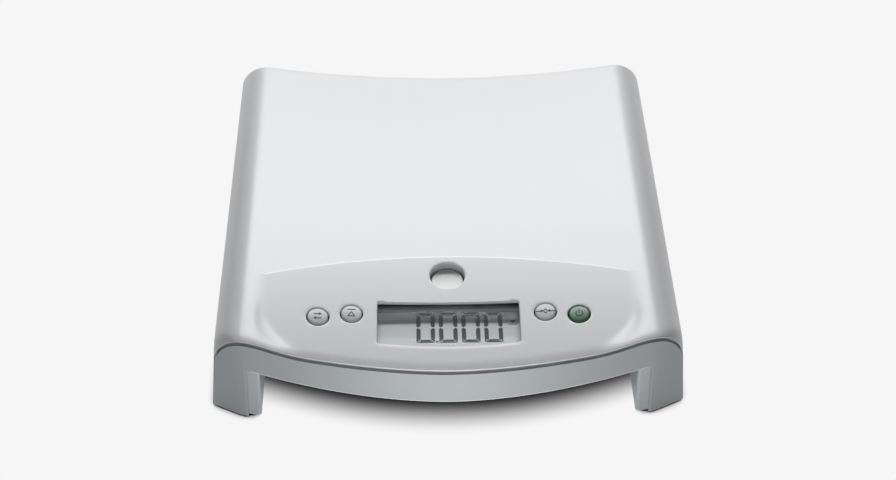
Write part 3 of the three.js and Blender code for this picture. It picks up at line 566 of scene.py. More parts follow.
def housing_form(name, inset, floor_z):
    """The outer form drawn in by an inset on every side and closed flat at floor_z."""
    columns = profile_columns()
    rows = depth_rows(inset)
    bpy.ops.object.select_all(action="DESELECT")
    bpy.ops.mesh.primitive_grid_add(x_subdivisions=len(columns) - 1, y_subdivisions=len(rows) - 1, size=2)
    piece = fresh(name)
    flat = np.array([v.co for v in piece.data.vertices])
    column = np.rint((flat[:, 0] + 1) / 2 * (len(columns) - 1)).astype(int)
    row = np.rint((flat[:, 1] + 1) / 2 * (len(rows) - 1)).astype(int)
    place = np.zeros_like(flat)
    for k, (roll, y_of) in enumerate(rows):
        here = row == k
        spot = columns[column[here]]
        x = spot[:, 0] - spot[:, 2] * (inset + roll)
        level = spot[:, 1] - spot[:, 3] * (inset + roll)
        y = y_of(x, level)
        z = level - panel_drop(x, y) + crease_bead(x, y) - front_dip(x, y)
        place[here] = np.stack([x, y_of(x, z), z], 1)
    for vertex, co in zip(piece.data.vertices, place):
        vertex.co = co
    in_edit(piece, "EDGE")
    bpy.ops.mesh.select_all(action="DESELECT")
    bpy.ops.mesh.select_non_manifold(extend=False, use_wire=False, use_multi_face=False,
                                     use_non_contiguous=False, use_verts=False)
    bpy.ops.mesh.extrude_edges_move()
    bpy.ops.object.mode_set(mode="OBJECT")
    wall_x = half_width - side_flare * floor_z - inset / math.cos(wall_lean)
    edge_x = columns[-1][0] - columns[-1][2] * inset
    for vertex in piece.data.vertices:
        if not vertex.select:
            continue
        x, y, z = vertex.co
        if abs(x) >= edge_x - lip_radius:
            near = min(rows, key=lambda r: abs(r[1](x, z) - y))
            foot_x = wall_x - near[0]
            vertex.co = (math.copysign(foot_x, x), near[1](foot_x, floor_z), floor_z)
        else:
            side = rows[0] if y < 0 else rows[-1]
            vertex.co = (x, side[1](x, floor_z), floor_z)
    bpy.ops.object.mode_set(mode="EDIT")
    bpy.ops.mesh.edge_face_add()
    bpy.ops.object.mode_set(mode="OBJECT")
    face_outwards(piece)
    return piece


def above_seam(name, offset, trough_steps=60, shoulder_steps=24):
    """A tall block over the seam between cover and skirt, raised by an offset."""
    edge = shoulder_x + shoulder_radius
    trough = np.linspace(0, shoulder_x, trough_steps)
    shoulder = shoulder_x + (edge - shoulder_x) * np.sin(np.linspace(0, math.pi / 2, shoulder_steps))[1:]
    right = np.concatenate([trough, shoulder])
    line = np.concatenate([-right[:0:-1], right])
    outline = [(-edge - long_cut, height + long_cut), (-edge - long_cut, float(seam_z(edge)) + offset)]
    outline += [(float(x), float(seam_z(x)) + offset) for x in line]
    outline += [(edge + long_cut, float(seam_z(edge)) + offset), (edge + long_cut, height + long_cut)]
    return prism_along_y(name, outline, -half_depth - long_cut, half_depth + long_cut)


def arch_line(reach, lift, corner=arch_corner_radius, steps=64, corner_steps=6):
    """Opening between the legs from below left to below right, with the direction into the wall."""
    marks = []
    low = -long_cut
    spread = leg_draft * (float(arch_z(reach - corner)) + lift - corner - low)
    marks.append((-reach - spread, low, -1, 0))
    for k in range(corner_steps + 1):
        angle = math.pi / 2 * k / corner_steps
        x = -reach + corner * (1 - math.cos(angle))
        z = float(arch_z(reach - corner)) + lift - corner * (1 - math.sin(angle))
        marks.append((x, z, -math.cos(angle), math.sin(angle)))
    for k in range(1, steps):
        x = (reach - corner) * (2 * k / steps - 1)
        slope = x / arch_radius
        length = math.hypot(slope, 1)
        marks.append((x, float(arch_z(x)) + lift, -slope / length, 1 / length))
    marks += [(-x, z, -nx, nz) for x, z, nx, nz in marks[corner_steps + 1::-1]]
    return marks


def arch_cutter(name, reach, lift, radius, inset, steep=1):
    """Runs from front to back under the housing, with rounded edges where it comes out.
    A low steep flattens those edges."""
    line = arch_line(reach, lift)
    loops = []

    def ring(grow, y_of):
        points = [(x + nx * grow, z + nz * grow) for x, z, nx, nz in line]
        loops.append([(x, float(y_of(x, z)), z) for x, z in points])

    marks = edge_profile(radius)
    ring(marks[-1][0], lambda x, z: -half_depth - long_cut)
    for grow, down in reversed(marks):
        ring(grow, lambda x, z: front_y(x, z) + inset + down * steep)
    for grow, down in marks:
        ring(grow, lambda x, z: back_y(x, z) - inset - down * steep)
    ring(marks[-1][0], lambda x, z: half_depth + long_cut)
    return loft(name, loops)


def display_front(x):
    """Front edge of the display's opening, which follows the front of the housing."""
    return display_front_y + float(front_y(x, 0) - front_y(0, 0))


def display_outline(steps=24, corner_steps=5):
    """Opening of the display with rounded corners."""
    radius = display_corner_radius
    side_x = display_half_width - radius
    marks = []
    for k in range(steps + 1):
        x = side_x * (2 * k / steps - 1)
        marks.append((x, display_front(x), 0, -1))
    front_corner_y = display_front(display_half_width) + radius
    bends = [
        (side_x, front_corner_y, -90),
        (side_x, display_rear_y - radius, 0),
        (radius - display_half_width, display_rear_y - radius, 90),
        (radius - display_half_width, front_corner_y, 180),
    ]
    for cx, cy, start in bends:
        for k in range(corner_steps + 1):
            # The front edge already has the first and the last point
            if start == -90 and k == 0 or start == 180 and k == corner_steps:
                continue
            a = math.radians(start + 90 * k / corner_steps)
            marks.append((cx + radius * math.cos(a), cy + radius * math.sin(a), math.cos(a), math.sin(a)))
    return marks


def surface(x, y):
    """Level of the cover's upper surface."""
    return float(top_z(x, y))


def upright_place(node):
    """Middle of a node seen from above, with its lowest and highest level."""
    low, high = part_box(node)
    return (low.x + high.x) / 2, (low.y + high.y) / 2, low.z, high.z


key_nodes = {name: upright_place(f"{name}_key_cap")[:2] for name in ("unit", "hold", "tare", "start")}
release_y = upright_place("release_button")[1]
round_holes = [(x, y, key_hole_radius) for x, y in key_nodes.values()]
round_holes.append((0, release_y, release_hole_radius))


def make_cover():
    shell = housing_form("cover_shell", 0, leg_bottom_z)
    collar_bottom = surface(0, release_y) - shell_wall - release_collar_depth
    outer_radius = release_hole_radius + release_collar_wall
    collar = loft("collar", [
        [(x, y, z if z < height else surface(x, y) - shell_wall / 2)
         for x, y, nx, ny in circle(0, release_y, outer_radius)]
        for z in (collar_bottom, height)])
    cut(shell, housing_form("cover_inside", shell_wall, leg_bottom_z - long_cut))
    combine(shell, collar, "UNION")
    combine(shell, above_seam("cover_limit", seam_gap / 2), "INTERSECT")
    cut(shell, hole_cutter("display_cut", display_outline()))
    for x, y, radius in round_holes:
        cut(shell, hole_cutter("round_cut", circle(x, y, radius)))
    smooth(shell, 30)
    return fit(shell, "base", "cover_plastic", "platform_cover")


def beside_opening(x, y):
    """Whether a place on the cover lies on the rounded edge of one of its openings."""
    reach = hole_edge_radius * edge_paint_share
    if any(0 < math.hypot(x - cx, y - cy) - radius < reach for cx, cy, radius in round_holes):
        return True
    across = max(abs(x) - display_half_width, y - display_rear_y, display_front(x) - y)
    return 0 < across < reach


def on_rounded_edge(polygon):
    """Whether a face is part of an opening's rounded edge and looks upwards: such faces get a painted
    highlight.
    """
    x, y, z = polygon.center
    near_top = surface(x, y) - hole_edge_radius < z < surface(x, y) - edge_paint_depth
    return near_top and polygon.normal.z > edge_paint_upward and beside_opening(x, y)


def on_crease_rim(polygon):
    """Whether a face lies on the front half of the fine rim behind the crease, where a highlight is
    painted.
    """
    x, y, z = polygon.center
    at_rim = abs(x) < bead_end and 0 < y - crease_y(x) < bead_back
    return at_rim and abs(z - surface(x, y)) < rim_paint_depth


def on_arch_edge(polygon):
    """Whether a face lies on the rounded lower edge of the apron, where a highlight is painted."""
    x, y, z = polygon.center
    least, most = arch_paint_forward
    at_front = y < front_y(x, z) + apron_edge_radius and least < polygon.normal.y < most
    return at_front and abs(x) < arch_half_width - arch_corner_radius and z < arch_z(x) + apron_edge_radius


def paint(piece, material, where):
    """Gives the faces that a test picks out a colour of their own: here painted highlights and painted
    shade.
    """
    piece.data.materials.append(material)
    for polygon in piece.data.polygons:
        if where(polygon):
            polygon.material_index = 1


def upright_middle(name, inset, steps=24):
    """Everything under the trough between front and back walls, drawn in by an inset."""
    xs = [shoulder_x * (2 * k / steps - 1) for k in range(steps + 1)]
    plan = [(x, float(front_y(x, height)) + inset) for x in xs]
    plan += [(x, float(back_y(x, height)) - inset) for x in reversed(xs)]
    return loft(name, [[(x, y, z) for x, y in plan] for z in (-long_cut, height + long_cut)])


def make_skirt():
    shell = housing_form("skirt_shell", 0, leg_bottom_z)
    cut(shell, housing_form("skirt_inside", shell_wall, leg_bottom_z - long_cut))
    cut(shell, above_seam("skirt_limit", -seam_gap / 2))
    seat = housing_form("skirt_seat", shell_wall / 2, leg_bottom_z)
    combine(seat, above_seam("seat_low", -seam_gap / 2 - tongue_down), "INTERSECT")
    cut(seat, above_seam("seat_high", -seam_gap / 2))
    tongue = housing_form("skirt_tongue", tray_inset, leg_bottom_z)
    combine(tongue, above_seam("tongue_low", -seam_gap / 2 - tongue_down / 2), "INTERSECT")
    cut(tongue, above_seam("tongue_high", tongue_up))
    combine(seat, tongue, "UNION")
    tongue_inside = housing_form("tongue_inside", tray_inset + tongue_wall, leg_bottom_z - long_cut)
    cut(seat, tongue_inside)
    cut(seat, upright_middle("tongue_middle", tongue_reach))
    combine(shell, seat, "UNION")
    cut(shell, arch_cutter("skirt_arch", arch_half_width, 0, apron_edge_radius, 0, skirt_edge_steep))
    smooth(shell, 30)
    return fit(shell, "base", "skirt_plastic", "skirt_housing")


def make_tray():
    shell = housing_form("tray_shell", tray_inset, leg_bottom_z)
    cut(shell, above_seam("tray_limit", -seam_gap / 2 - tray_rim_below_seam))
    cavity = housing_form("tray_inside", tray_inset + tray_wall, leg_bottom_z + tray_wall)
    thick = arch_line(tunnel_half_width + tray_wall, tray_under_arch + tray_wall)
    tunnel = prism_along_y("tray_roof", [(x, z) for x, z, nx, nz in thick],
                           -half_depth - long_cut, half_depth + long_cut)
    cut(cavity, tunnel)
    cut(shell, cavity)
    door_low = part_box("battery_door")[0]
    cell_low, cell_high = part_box("battery_cell_1")
    box_half = -cell_low.x + battery_side_space
    box_front = cell_low.y - battery_end_space
    box_rear = cell_high.y + battery_end_space
    box_roof = cell_high.z + seat_gap
    floor_z = arch_middle_z + tray_under_arch + tray_wall / 2
    battery_box = block("battery_box", (-box_half - tray_wall, box_front - tray_wall, floor_z),
                        (box_half + tray_wall, box_rear + tray_wall, box_roof + tray_wall))
    combine(shell, battery_box, "UNION")
    for node in boss_screws:
        x, y, screw_low, screw_high = upright_place(node)
        marks = [(boss_radius, screw_low), (boss_radius, screw_high - boss_split)]
        combine(shell, turned("boss", x, y, marks), "UNION")
    for corner in corners:
        low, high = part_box(f"load_cell_{corner}")
        y = upright_place(f"cell_screw_{corner}")[1]
        toward = 1 if y > (low.y + high.y) / 2 else -1
        end = high.y if toward > 0 else low.y
        ys = sorted((end, end - toward * beam_boss_length))
        beam_boss = block("beam_boss", (low.x, ys[0], leg_bottom_z + tray_wall / 2),
                          (high.x, ys[1], low.z - seat_gap))
        combine(shell, beam_boss, "UNION")
    cut(shell, arch_cutter("tray_arch", tunnel_half_width, tray_under_arch, leg_edge_radius, tray_inset))
    cut(shell, block("battery_space", (-box_half, box_front, -long_cut), (box_half, box_rear, box_roof)))
    slot_low = door_low.z + door_thickness
    for side in (-1, 1):
        middle = side * door_tongue_x
        cut(shell, block("tongue_slot",
                         (middle - door_tongue_room, box_rear - tray_wall, slot_low),
                         (middle + door_tongue_room, box_rear + 2 * tray_wall,
                          slot_low + 2 * door_tongue_height)))
    for node in boss_screws:
        x, y, screw_low = upright_place(node)[:3]
        recess_top = screw_low + head_height + seat_gap
        cut(shell, turned("head_recess", x, y, [
            (screw_head_room, -long_cut), (screw_head_room, recess_top),
            (shank_room, recess_top), (shank_room, height)]))
    flare = foot_hole_radius + foot_hole_edge
    for corner in corners:
        x, y, screw_low = upright_place(f"cell_screw_{corner}")[:3]
        marks = [(shank_room, screw_low - seat_gap), (shank_room, height)]
        cut(shell, turned("cell_screw_hole", x, y, marks))
        x, y = upright_place(f"foot_pad_{corner}")[:2]
        beam_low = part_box(f"load_cell_{corner}")[0]
        cut(shell, turned("foot_hole", x, y, [
            (flare, -long_cut), (flare, leg_bottom_z), (foot_hole_radius, leg_bottom_z + foot_hole_edge),
            (foot_hole_radius, beam_low.z)]))
    smooth(shell, 30)
    return fit(shell, "base", "tray_plastic", "base_tray")


cover = make_cover()
skirt = make_skirt()
tray = make_tray()


# Keys: domed caps with a flange that holds them under the cover, each with a small printed sign
def cap_top(x, y, cx, cy):
    """Level of the domed top of a key whose middle is at cx, cy."""
    reach = min(1, math.hypot(x - cx, y - cy) / key_radius)
    return surface(x, y) + key_proud + key_dome * (1 - reach ** 2)


def make_key(name):
    cx, cy = key_nodes[name]
    stem_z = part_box(f"{name}_key_cap")[0].z
    flange_z = surface(cx, cy) - shell_wall - key_flange_depth
    loops = []

    def ring(radius, level):
        loops.append([(x, y, level(x, y)) for x, y, nx, ny in circle(cx, cy, radius)])

    ring(key_stem_radius - key_edge_radius / 2, lambda x, y: stem_z)
    ring(key_stem_radius, lambda x, y: stem_z + key_edge_radius / 2)
    ring(key_stem_radius, lambda x, y: flange_z)
    ring(key_flange_radius, lambda x, y: flange_z)
    ring(key_flange_radius, lambda x, y: surface(x, y) - shell_wall - seat_gap)
    ring(key_radius, lambda x, y: surface(x, y) - shell_wall - seat_gap)
    for back, down in rounded_edge(key_edge_radius, 6):
        ring(key_radius - back, lambda x, y, d=down: cap_top(x, y, cx, cy) - d)
    for share in (0.75, 0.55, 0.35, 0.15, 0.03):
        ring((key_radius - key_edge_radius) * share, lambda x, y: cap_top(x, y, cx, cy))
    cap = loft(f"{name}_key_cap_finished", loops)
    smooth(cap, 40)
    slot = "green_key_plastic" if name == "start" else "key_plastic"
    return fit(cap, f"{name}_key", slot, f"{name}_key_cap")


def stroke(points, width):
    """Outline of a straight stroke of ink between two points."""
    (x0, y0), (x1, y1) = points
    length = math.hypot(x1 - x0, y1 - y0)
    nx, ny = -(y1 - y0) / length * width / 2, (x1 - x0) / length * width / 2
    return [(x0 + nx, y0 + ny), (x0 - nx, y0 - ny), (x1 - nx, y1 - ny), (x1 + nx, y1 + ny)]


def arc_strokes(radius, start, end, width, steps=20):
    """An arc of ink between two directions in degrees, as short pieces."""
    inner, outer = radius - width / 2, radius + width / 2
    marks = []
    for k in range(steps):
        a, b = (math.radians(start + (end - start) * i / steps) for i in (k, k + 1))
        marks.append([(r * math.cos(t), r * math.sin(t))
                      for r, t in ((inner, a), (outer, a), (outer, b), (inner, b))])
    return marks


def print_marks(name, marks, cx, cy, level, size=mm):
    """Ink laid on a surface: each outline is carried a hair's breadth proud of it."""
    pieces = []
    for outline in marks:
        placed = [(cx + x * size, cy + y * size) for x, y in outline]
        loops = [[(x, y, level(x, y) + lift) for x, y in placed]
                 for lift in (-ink_thickness, ink_thickness)]
        pieces.append(loft(name, loops))
    return join(name, pieces)


def arrow(x, y, along):
    """A small arrow that points along X, about a place x, y."""
    return [[(x - along * 2.1, y - 0.32), (x + along * 0.7, y - 0.32), (x + along * 0.7, y + 0.32),
             (x - along * 2.1, y + 0.32)],
            [(x + along * 0.7, y - 1), (x + along * 2.3, y), (x + along * 0.7, y + 1)]]


# Signs on the keys, measured in sign_size: two arrows, a triangle under a bar, a zero between arrows and
# a power sign
key_marks = {
    "unit": arrow(0, 1.5, 1) + arrow(0, -1.5, -1),
    "hold": [stroke(((-2.2, 2.5), (2.2, 2.5)), 0.7), stroke(((-1.9, -2.2), (1.9, -2.2)), 0.55),
             stroke(((-1.9, -2.4), (0, 0.9)), 0.55), stroke(((1.9, -2.4), (0, 0.9)), 0.55)],
    "tare": arrow(-3.2, 0, 1) + arrow(3.2, 0, -1) + [
        [(0.62 * x, y) for x, y in mark] for mark in arc_strokes(1.35, 0, 360, 0.6)],
    "start": arc_strokes(1.9, 125, 415, 0.6) + [stroke(((0, 0.4), (0, 2.9)), 0.6)],
}

keys = {}
prints = []
for key_name, (cx, cy) in key_nodes.items():
    keys[key_name] = make_key(key_name)
    sign = print_marks(f"{key_name}_key_sign", key_marks[key_name], cx, cy,
                       lambda x, y: cap_top(x, y, cx, cy), sign_size)
    prints.append(fit(sign, f"{key_name}_key", "dark_plastic"))


# Round tray release button, dished, in its collar
def make_release_button():
    x, y, low, rim_z = upright_place("release_button")
    flange_top = low + release_flange_height
    marks = [(release_pole_radius, low), (release_flange_radius, low),
             (release_flange_radius, flange_top), (release_radius, flange_top)]
    for back, down in rounded_edge(release_edge, 6):
        marks.append((release_radius - back, rim_z - down))
    dish_radius = release_radius - release_rim
    dish_steps = 8
    for k in range(dish_steps + 1):
        share = 1 - k / dish_steps
        level = rim_z - release_dish * (1 - share ** 2)
        marks.append((max(dish_radius * share, release_pole_radius), level))
    button = turned("release_button_finished", x, y, marks, 96)
    smooth(button, 50)
    return fit(button, "tray_release", "release_plastic", "release_button")


release_button = make_release_button()


# Display: window, frame and glass with its digits
window = refined("display_window", window_edge_radius)
fit(window, "base", "clear_window", "display_window")
frame_piece = refined("lcd_frame", frame_edge_radius)
fit(frame_piece, "base", "dark_plastic", "lcd_frame")
lcd_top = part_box("lcd_glass")[1].z


def zero_digit(left):
    """The six dark strokes of a 0, mitred where they meet."""
    right = left + digit_width
    low, mid, high = digit_low, (digit_low + digit_high) / 2, digit_high
    t, g = digit_stroke, digit_gap
    marks = [
        [(left + g, low), (right - g, low), (right - t - g, low + t), (left + t + g, low + t)],
        [(left + g, high), (left + t + g, high - t), (right - t - g, high - t), (right - g, high)],
    ]
    for edge, inner in ((left, left + t), (right, right - t)):
        for end, side in ((low, 1), (high, -1)):
            marks.append([(edge, end + side * g), (inner, end + side * (t + g)),
                          (inner, mid - side * (t / 2 + g)), ((edge + inner) / 2, mid - side * g),
                          (edge, mid - side * (t / 4 + g))])
    return marks


digit_marks = []
for k in range(digit_count):
    digit_marks += zero_digit(digit_left + k * digit_pitch)
dot_right, dot_high = digit_dot_x + digit_dot, digit_low + digit_dot
digit_marks.append([(digit_dot_x, digit_low), (dot_right, digit_low), (dot_right, dot_high),
                    (digit_dot_x, dot_high)])
# Small generic mark at the right: a triangle over a bar
digit_marks += [
    [(unit_mark_x - 2.6, unit_mark_y + 1.6), (unit_mark_x, unit_mark_y - 1.4),
     (unit_mark_x + 2.6, unit_mark_y + 1.6)],
    stroke(((unit_mark_x - 2.8, unit_mark_y - 2.4), (unit_mark_x + 2.8, unit_mark_y - 2.4)), 0.8),
]
digits = fit(print_marks("lcd_digits", digit_marks, 0, 0, lambda x, y: lcd_top), "base", "dark_plastic")


# Feet, screws and battery door
def foot_pad(corner):
    """Rubber pad with two raised rings under it: shares of its radius, and levels in millimetres."""
    x, y, low, high = upright_place(f"foot_pad_{corner}")
    marks = [(0.05, 0.5), (0.36, 0.5), (0.42, 0.05), (0.46, 0), (0.58, 0), (0.62, 0.05), (0.66, 0.5),
             (0.76, 0.5), (0.8, 0.05), (0.84, 0), (0.93, 0), (0.98, 0.12), (1, 0.5)]
    profile = [(foot_radius * share, low + up * mm) for share, up in marks]
    profile += [(foot_radius, high), (marks[0][0] * foot_radius, high)]
    pad = turned(f"foot_pad_{corner}_finished", x, y, profile, 48)
    smooth(pad, 40)
    return fit(pad, "base", "rubber", f"foot_pad_{corner}")


pads = [foot_pad(corner) for corner in corners]


def cross_screw(node):
    """Round head with a cross recess, on its shank."""
    x, y, low, high = upright_place(node)
    marks = [(screw_pole_radius, low), (head_radius * 0.55, low), (head_radius * 0.85, low + 0.35 * mm),
             (head_radius, low + 1.1 * mm), (head_radius, low + head_height),
             (shank_radius, low + head_height), (shank_radius, high - 1.2 * mm), (screw_pole_radius, high)]
    screw = turned(f"{node}_finished", x, y, marks, 32)
    for wide, deep in ((cross_reach, cross_width), (cross_width, cross_reach)):
        cut(screw, block("cross", (x - wide / 2, y - deep / 2, low - cross_depth),
                         (x + wide / 2, y + deep / 2, low + cross_depth)))
    smooth(screw, 30)
    return fit(screw, "base", "steel", node)


screws = [cross_screw(node) for node in boss_screws]


def make_door():
    """The door of the battery box, with ribs for the thumb."""
    door = refined("battery_door", door_edge_radius, 3)
    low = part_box("battery_door")[0]
    grip_y = low.y + door_grip_length
    for k in range(door_rib_count):
        y = grip_y + (k - (door_rib_count - 1) / 2) * door_rib_pitch
        rib = block("grip_rib", (-door_grip_half, y - door_rib_width / 2, low.z + door_rib_sunk),
                    (door_grip_half, y + door_rib_width / 2, low.z + door_rib_top))
        soften(rib, door_rib_edge, 2)
        combine(door, rib, "UNION")
    smooth(door, 30)
    return fit(door, "battery_hatch", "tray_plastic", "battery_door")


door = make_door()


# Materials
def linear(hex_colour):
    """A colour written as sRGB hex, turned to the linear values that shaders take."""
    parts = [int(hex_colour[i:i + 2], 16) / 255 for i in (0, 2, 4)]
    return [p / 12.92 if p <= 0.04045 else ((p + 0.055) / 1.055) ** 2.4 for p in parts] + [1.0]


def add_node(tree, kind, settings=None, **links):
    """Adds a shader node; settings are its properties, links its inputs as values or sockets."""
    node = tree.nodes.new(kind)
    for key, value in (settings or {}).items():
        setattr(node, key, value)
    for key, value in links.items():
        socket = node.inputs[key.replace("_", " ")]
        if isinstance(value, bpy.types.NodeSocket):
            tree.links.new(value, socket)
        else:
            socket.default_value = value
    return node


def finish(name, colour, roughness, grain=1 * mm, relief=0.05, metallic=0.0, alpha=1.0):
    """A finish with a fine grain that breaks up its sheen. An etched mould leaves a grain of about 0.1 mm,
    which doesn't show at this size, so it is drawn ten times as coarse. A relief of 0 leaves it out."""
    material = bpy.data.materials.new(name)
    material.use_nodes = True
    tree = material.node_tree
    tree.nodes.clear()
    place = add_node(tree, "ShaderNodeTexCoord")
    grains = add_node(tree, "ShaderNodeTexNoise", Vector=place.outputs["Object"],
                      Scale=1 / grain, Detail=2.0)
    bump = add_node(tree, "ShaderNodeBump", Strength=relief, Distance=grain, Height=grains.outputs["Fac"])
    shader = add_node(tree, "ShaderNodeBsdfPrincipled", Base_Color=linear(colour), Roughness=roughness,
                      Normal=bump.outputs["Normal"], Metallic=metallic, Alpha=alpha)
    output = add_node(tree, "ShaderNodeOutputMaterial")
    tree.links.new(shader.outputs["BSDF"], output.inputs["Surface"])
    return material


def dress(piece, material):
    """Gives a whole piece one finish."""
    piece.data.materials.clear()
    piece.data.materials.append(material)


# Pale ABS moulded in an etched mould: satin, so the dished platform and the ridges shade softly
cover_abs = finish("cover_moulded_abs", "e4e5e7", 0.34)
# The same ABS, painted lighter on the rounded rims of openings and on the rim behind the crease: the
# rounding catches some real light, and the rest of the thin bright line is a painted highlight
rim_highlight_abs = finish("painted_highlight_rim_abs", "fbfcfc", 0.3, relief=0.0)
# The skirt's ABS painted near-white on the rounded lower edge of the apron: a painted highlight, a light
# line along it
apron_edge_highlight_abs = finish("painted_highlight_apron_edge_abs", "f4f6f6", 0.3, relief=0.0)
# Grey ABS moulded in an etched mould: darker and a little duller than the cover, so it reads as a base
skirt_abs = finish("skirt_moulded_abs", "b4b9bb", 0.4)
# Light grey ABS moulded in an etched mould, for the tray, its door and the guide: sets the inner part of
# each leg off from the skirt
tray_abs = finish("tray_moulded_abs", "cacfd1", 0.42)
# Grey ABS of the key caps, finely etched: a soft highlight shows that each cap is domed
key_abs = finish("key_moulded_abs", "ccced0", 0.35)
# Green ABS of the start key: the only colour on the object
green_key_abs = finish("green_key_moulded_abs", "3f7252", 0.35)
# Near-white moulded ABS of the release button: the lightest piece, deep in its hole
release_abs = finish("release_moulded_abs", "f4f5f5", 0.45)
# Grey moulded ABS of the switches and the foot holders. On the sides of the display's frame the same grey
# is
# painted shade: a mid-grey wall round the glass, below the frame's paler top
grey_abs_and_frame_shade = finish("grey_abs_and_painted_frame_shade", "b4b8bb", 0.5)
# Pale colour on the upward faces of the display's frame, lighter than its sides: painted light, a dull
# ledge round the glass
frame_top_painted_light = finish("frame_top_painted_light_abs", "e6e8e9", 0.5)
# Near-black on the flange of each key cap below the cover: painted shade that makes the gap round each key
# a dark ring
key_gap_painted_shade = finish("painted_shade_key_flange", "15171a", 0.7)
# Pad-printed ink: flat dark signs with almost no sheen
printing_ink = finish("printing_ink", "23292d", 0.6)
# Dark segments of a reflective liquid crystal display: matt grey-black without any sparkle
lcd_ink = finish("lcd_dark_segments", "39444b", 0.85, relief=0.0)
# Moulded rubber: dull black, takes no highlight
foot_rubber = finish("moulded_rubber", "2a2b2c", 0.85)
# Extruded PVC of the leads: pale and slightly glossy
lead_pvc = finish("extruded_pvc_lead", "c9caca", 0.5)
# Reflective polariser film behind the display's glass: an even silvery field
lcd_polariser = finish("lcd_reflective_polariser", "e6eaeb", 0.6, relief=0.0)
# Glass-fibre board under a green coating: a satin green
fibreglass = finish("green_coated_fibreglass", "2f6b45", 0.45)
# Printed film round a battery cell: dark and half glossy
cell_label = finish("printed_cell_label", "3a3f44", 0.35)
# Zinc-plated steel, its real grain far below 0.1 mm and drawn at 0.8 mm: bluish, with a soft metal sheen
zinc_steel = finish("zinc_plated_steel", "b9bcbf", 0.35, grain=0.8 * mm, relief=0.01, metallic=1.0)
# Milled aluminium of the load cells, its fine tool marks drawn as a 0.8 mm grain: a silky metal sheen
cell_alloy = finish("milled_aluminium", "c9ccd0", 0.4, grain=0.8 * mm, relief=0.01, metallic=1.0)
# Clear moulded acrylic: seen through, with a faint gloss
acrylic = finish("clear_acrylic", "e9eef0", 0.06, relief=0.0, alpha=0.05)

dress(cover, cover_abs)
# Painted highlight on the rounded rims of the openings and on the rim behind the crease
paint(cover, rim_highlight_abs, lambda face: on_rounded_edge(face) or on_crease_rim(face))
dress(skirt, skirt_abs)
# Painted highlight along the rounded lower edge of the apron
paint(skirt, apron_edge_highlight_abs, on_arch_edge)
dress(tray, tray_abs)
dress(door, tray_abs)
for key_name, cap in keys.items():
    dress(cap, green_key_abs if key_name == "start" else key_abs)
    # Faces of each key cap below the cover are painted near-black: painted shade in the gap round the key
    paint(cap, key_gap_painted_shade, lambda face: face.center.z < surface(face.center.x, face.center.y) - shell_wall)
for sign in prints:
    dress(sign, printing_ink)
dress(release_button, release_abs)
dress(window, acrylic)
dress(frame_piece, frame_top_painted_light)
# Frame: upward faces pale, the rest grey, painted light and shade by which way a face looks
paint(frame_piece, grey_abs_and_frame_shade, lambda face: face.normal.z < frame_top_upward)
dress(digits, lcd_ink)
for pad in pads:
    dress(pad, foot_rubber)
for screw in screws:
    dress(screw, zinc_steel)

node_finishes = {
    "lcd_glass": lcd_polariser, "lcd_contact_strip": foot_rubber, "main_board": fibreglass,
    "release_spring": zinc_steel, "release_guide": tray_abs, "battery_lead": lead_pvc,
    "battery_contact_front": zinc_steel, "battery_contact_rear": zinc_steel,
}
for k in range(1, 5):
    node_finishes[f"battery_cell_{k}"] = cell_label
for key_name in key_nodes:
    node_finishes[f"{key_name}_switch_body"] = grey_abs_and_frame_shade
    node_finishes[f"{key_name}_switch_plunger"] = foot_rubber
for corner in corners:
    node_finishes[f"load_cell_{corner}"] = cell_alloy
    node_finishes[f"foot_holder_{corner}"] = grey_abs_and_frame_shade
    node_finishes[f"cell_screw_{corner}"] = zinc_steel
    node_finishes[f"load_cell_lead_{corner}"] = lead_pvc
for hand in ("left", "right"):
    node_finishes[f"board_screw_{hand}"] = zinc_steel
for node, material in node_finishes.items():
    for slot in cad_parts[node].material_slots:
        slot.material = material


# Studio: a pale floor, and the soft shadow on it under the arch and close to the legs
floor_colour = "f6f6f6"
floor_size = 8
shadow_front_y = -134 * mm
shadow_back_y = 150 * mm
shadow_sweep = 1.71
shadow_reach = 33 * mm
shadow_dark = 0.02
close_reach = 12 * mm
close_dark = 0.3
close_light = 0.72
shadow_inner_x = 128 * mm
shadow_outer_x = 134 * mm

bpy.ops.object.select_all(action="DESELECT")
bpy.ops.mesh.primitive_plane_add(size=floor_size)
floor = fresh("studio_floor")


def measure(tree, operation, first, second):
    """One sum on a shader's numbers."""
    node = add_node(tree, "ShaderNodeMath", {"operation": operation})
    for socket, value in zip(node.inputs, (first, second)):
        if isinstance(value, bpy.types.NodeSocket):
            tree.links.new(value, socket)
        else:
            socket.default_value = value
    return node.outputs["Value"]


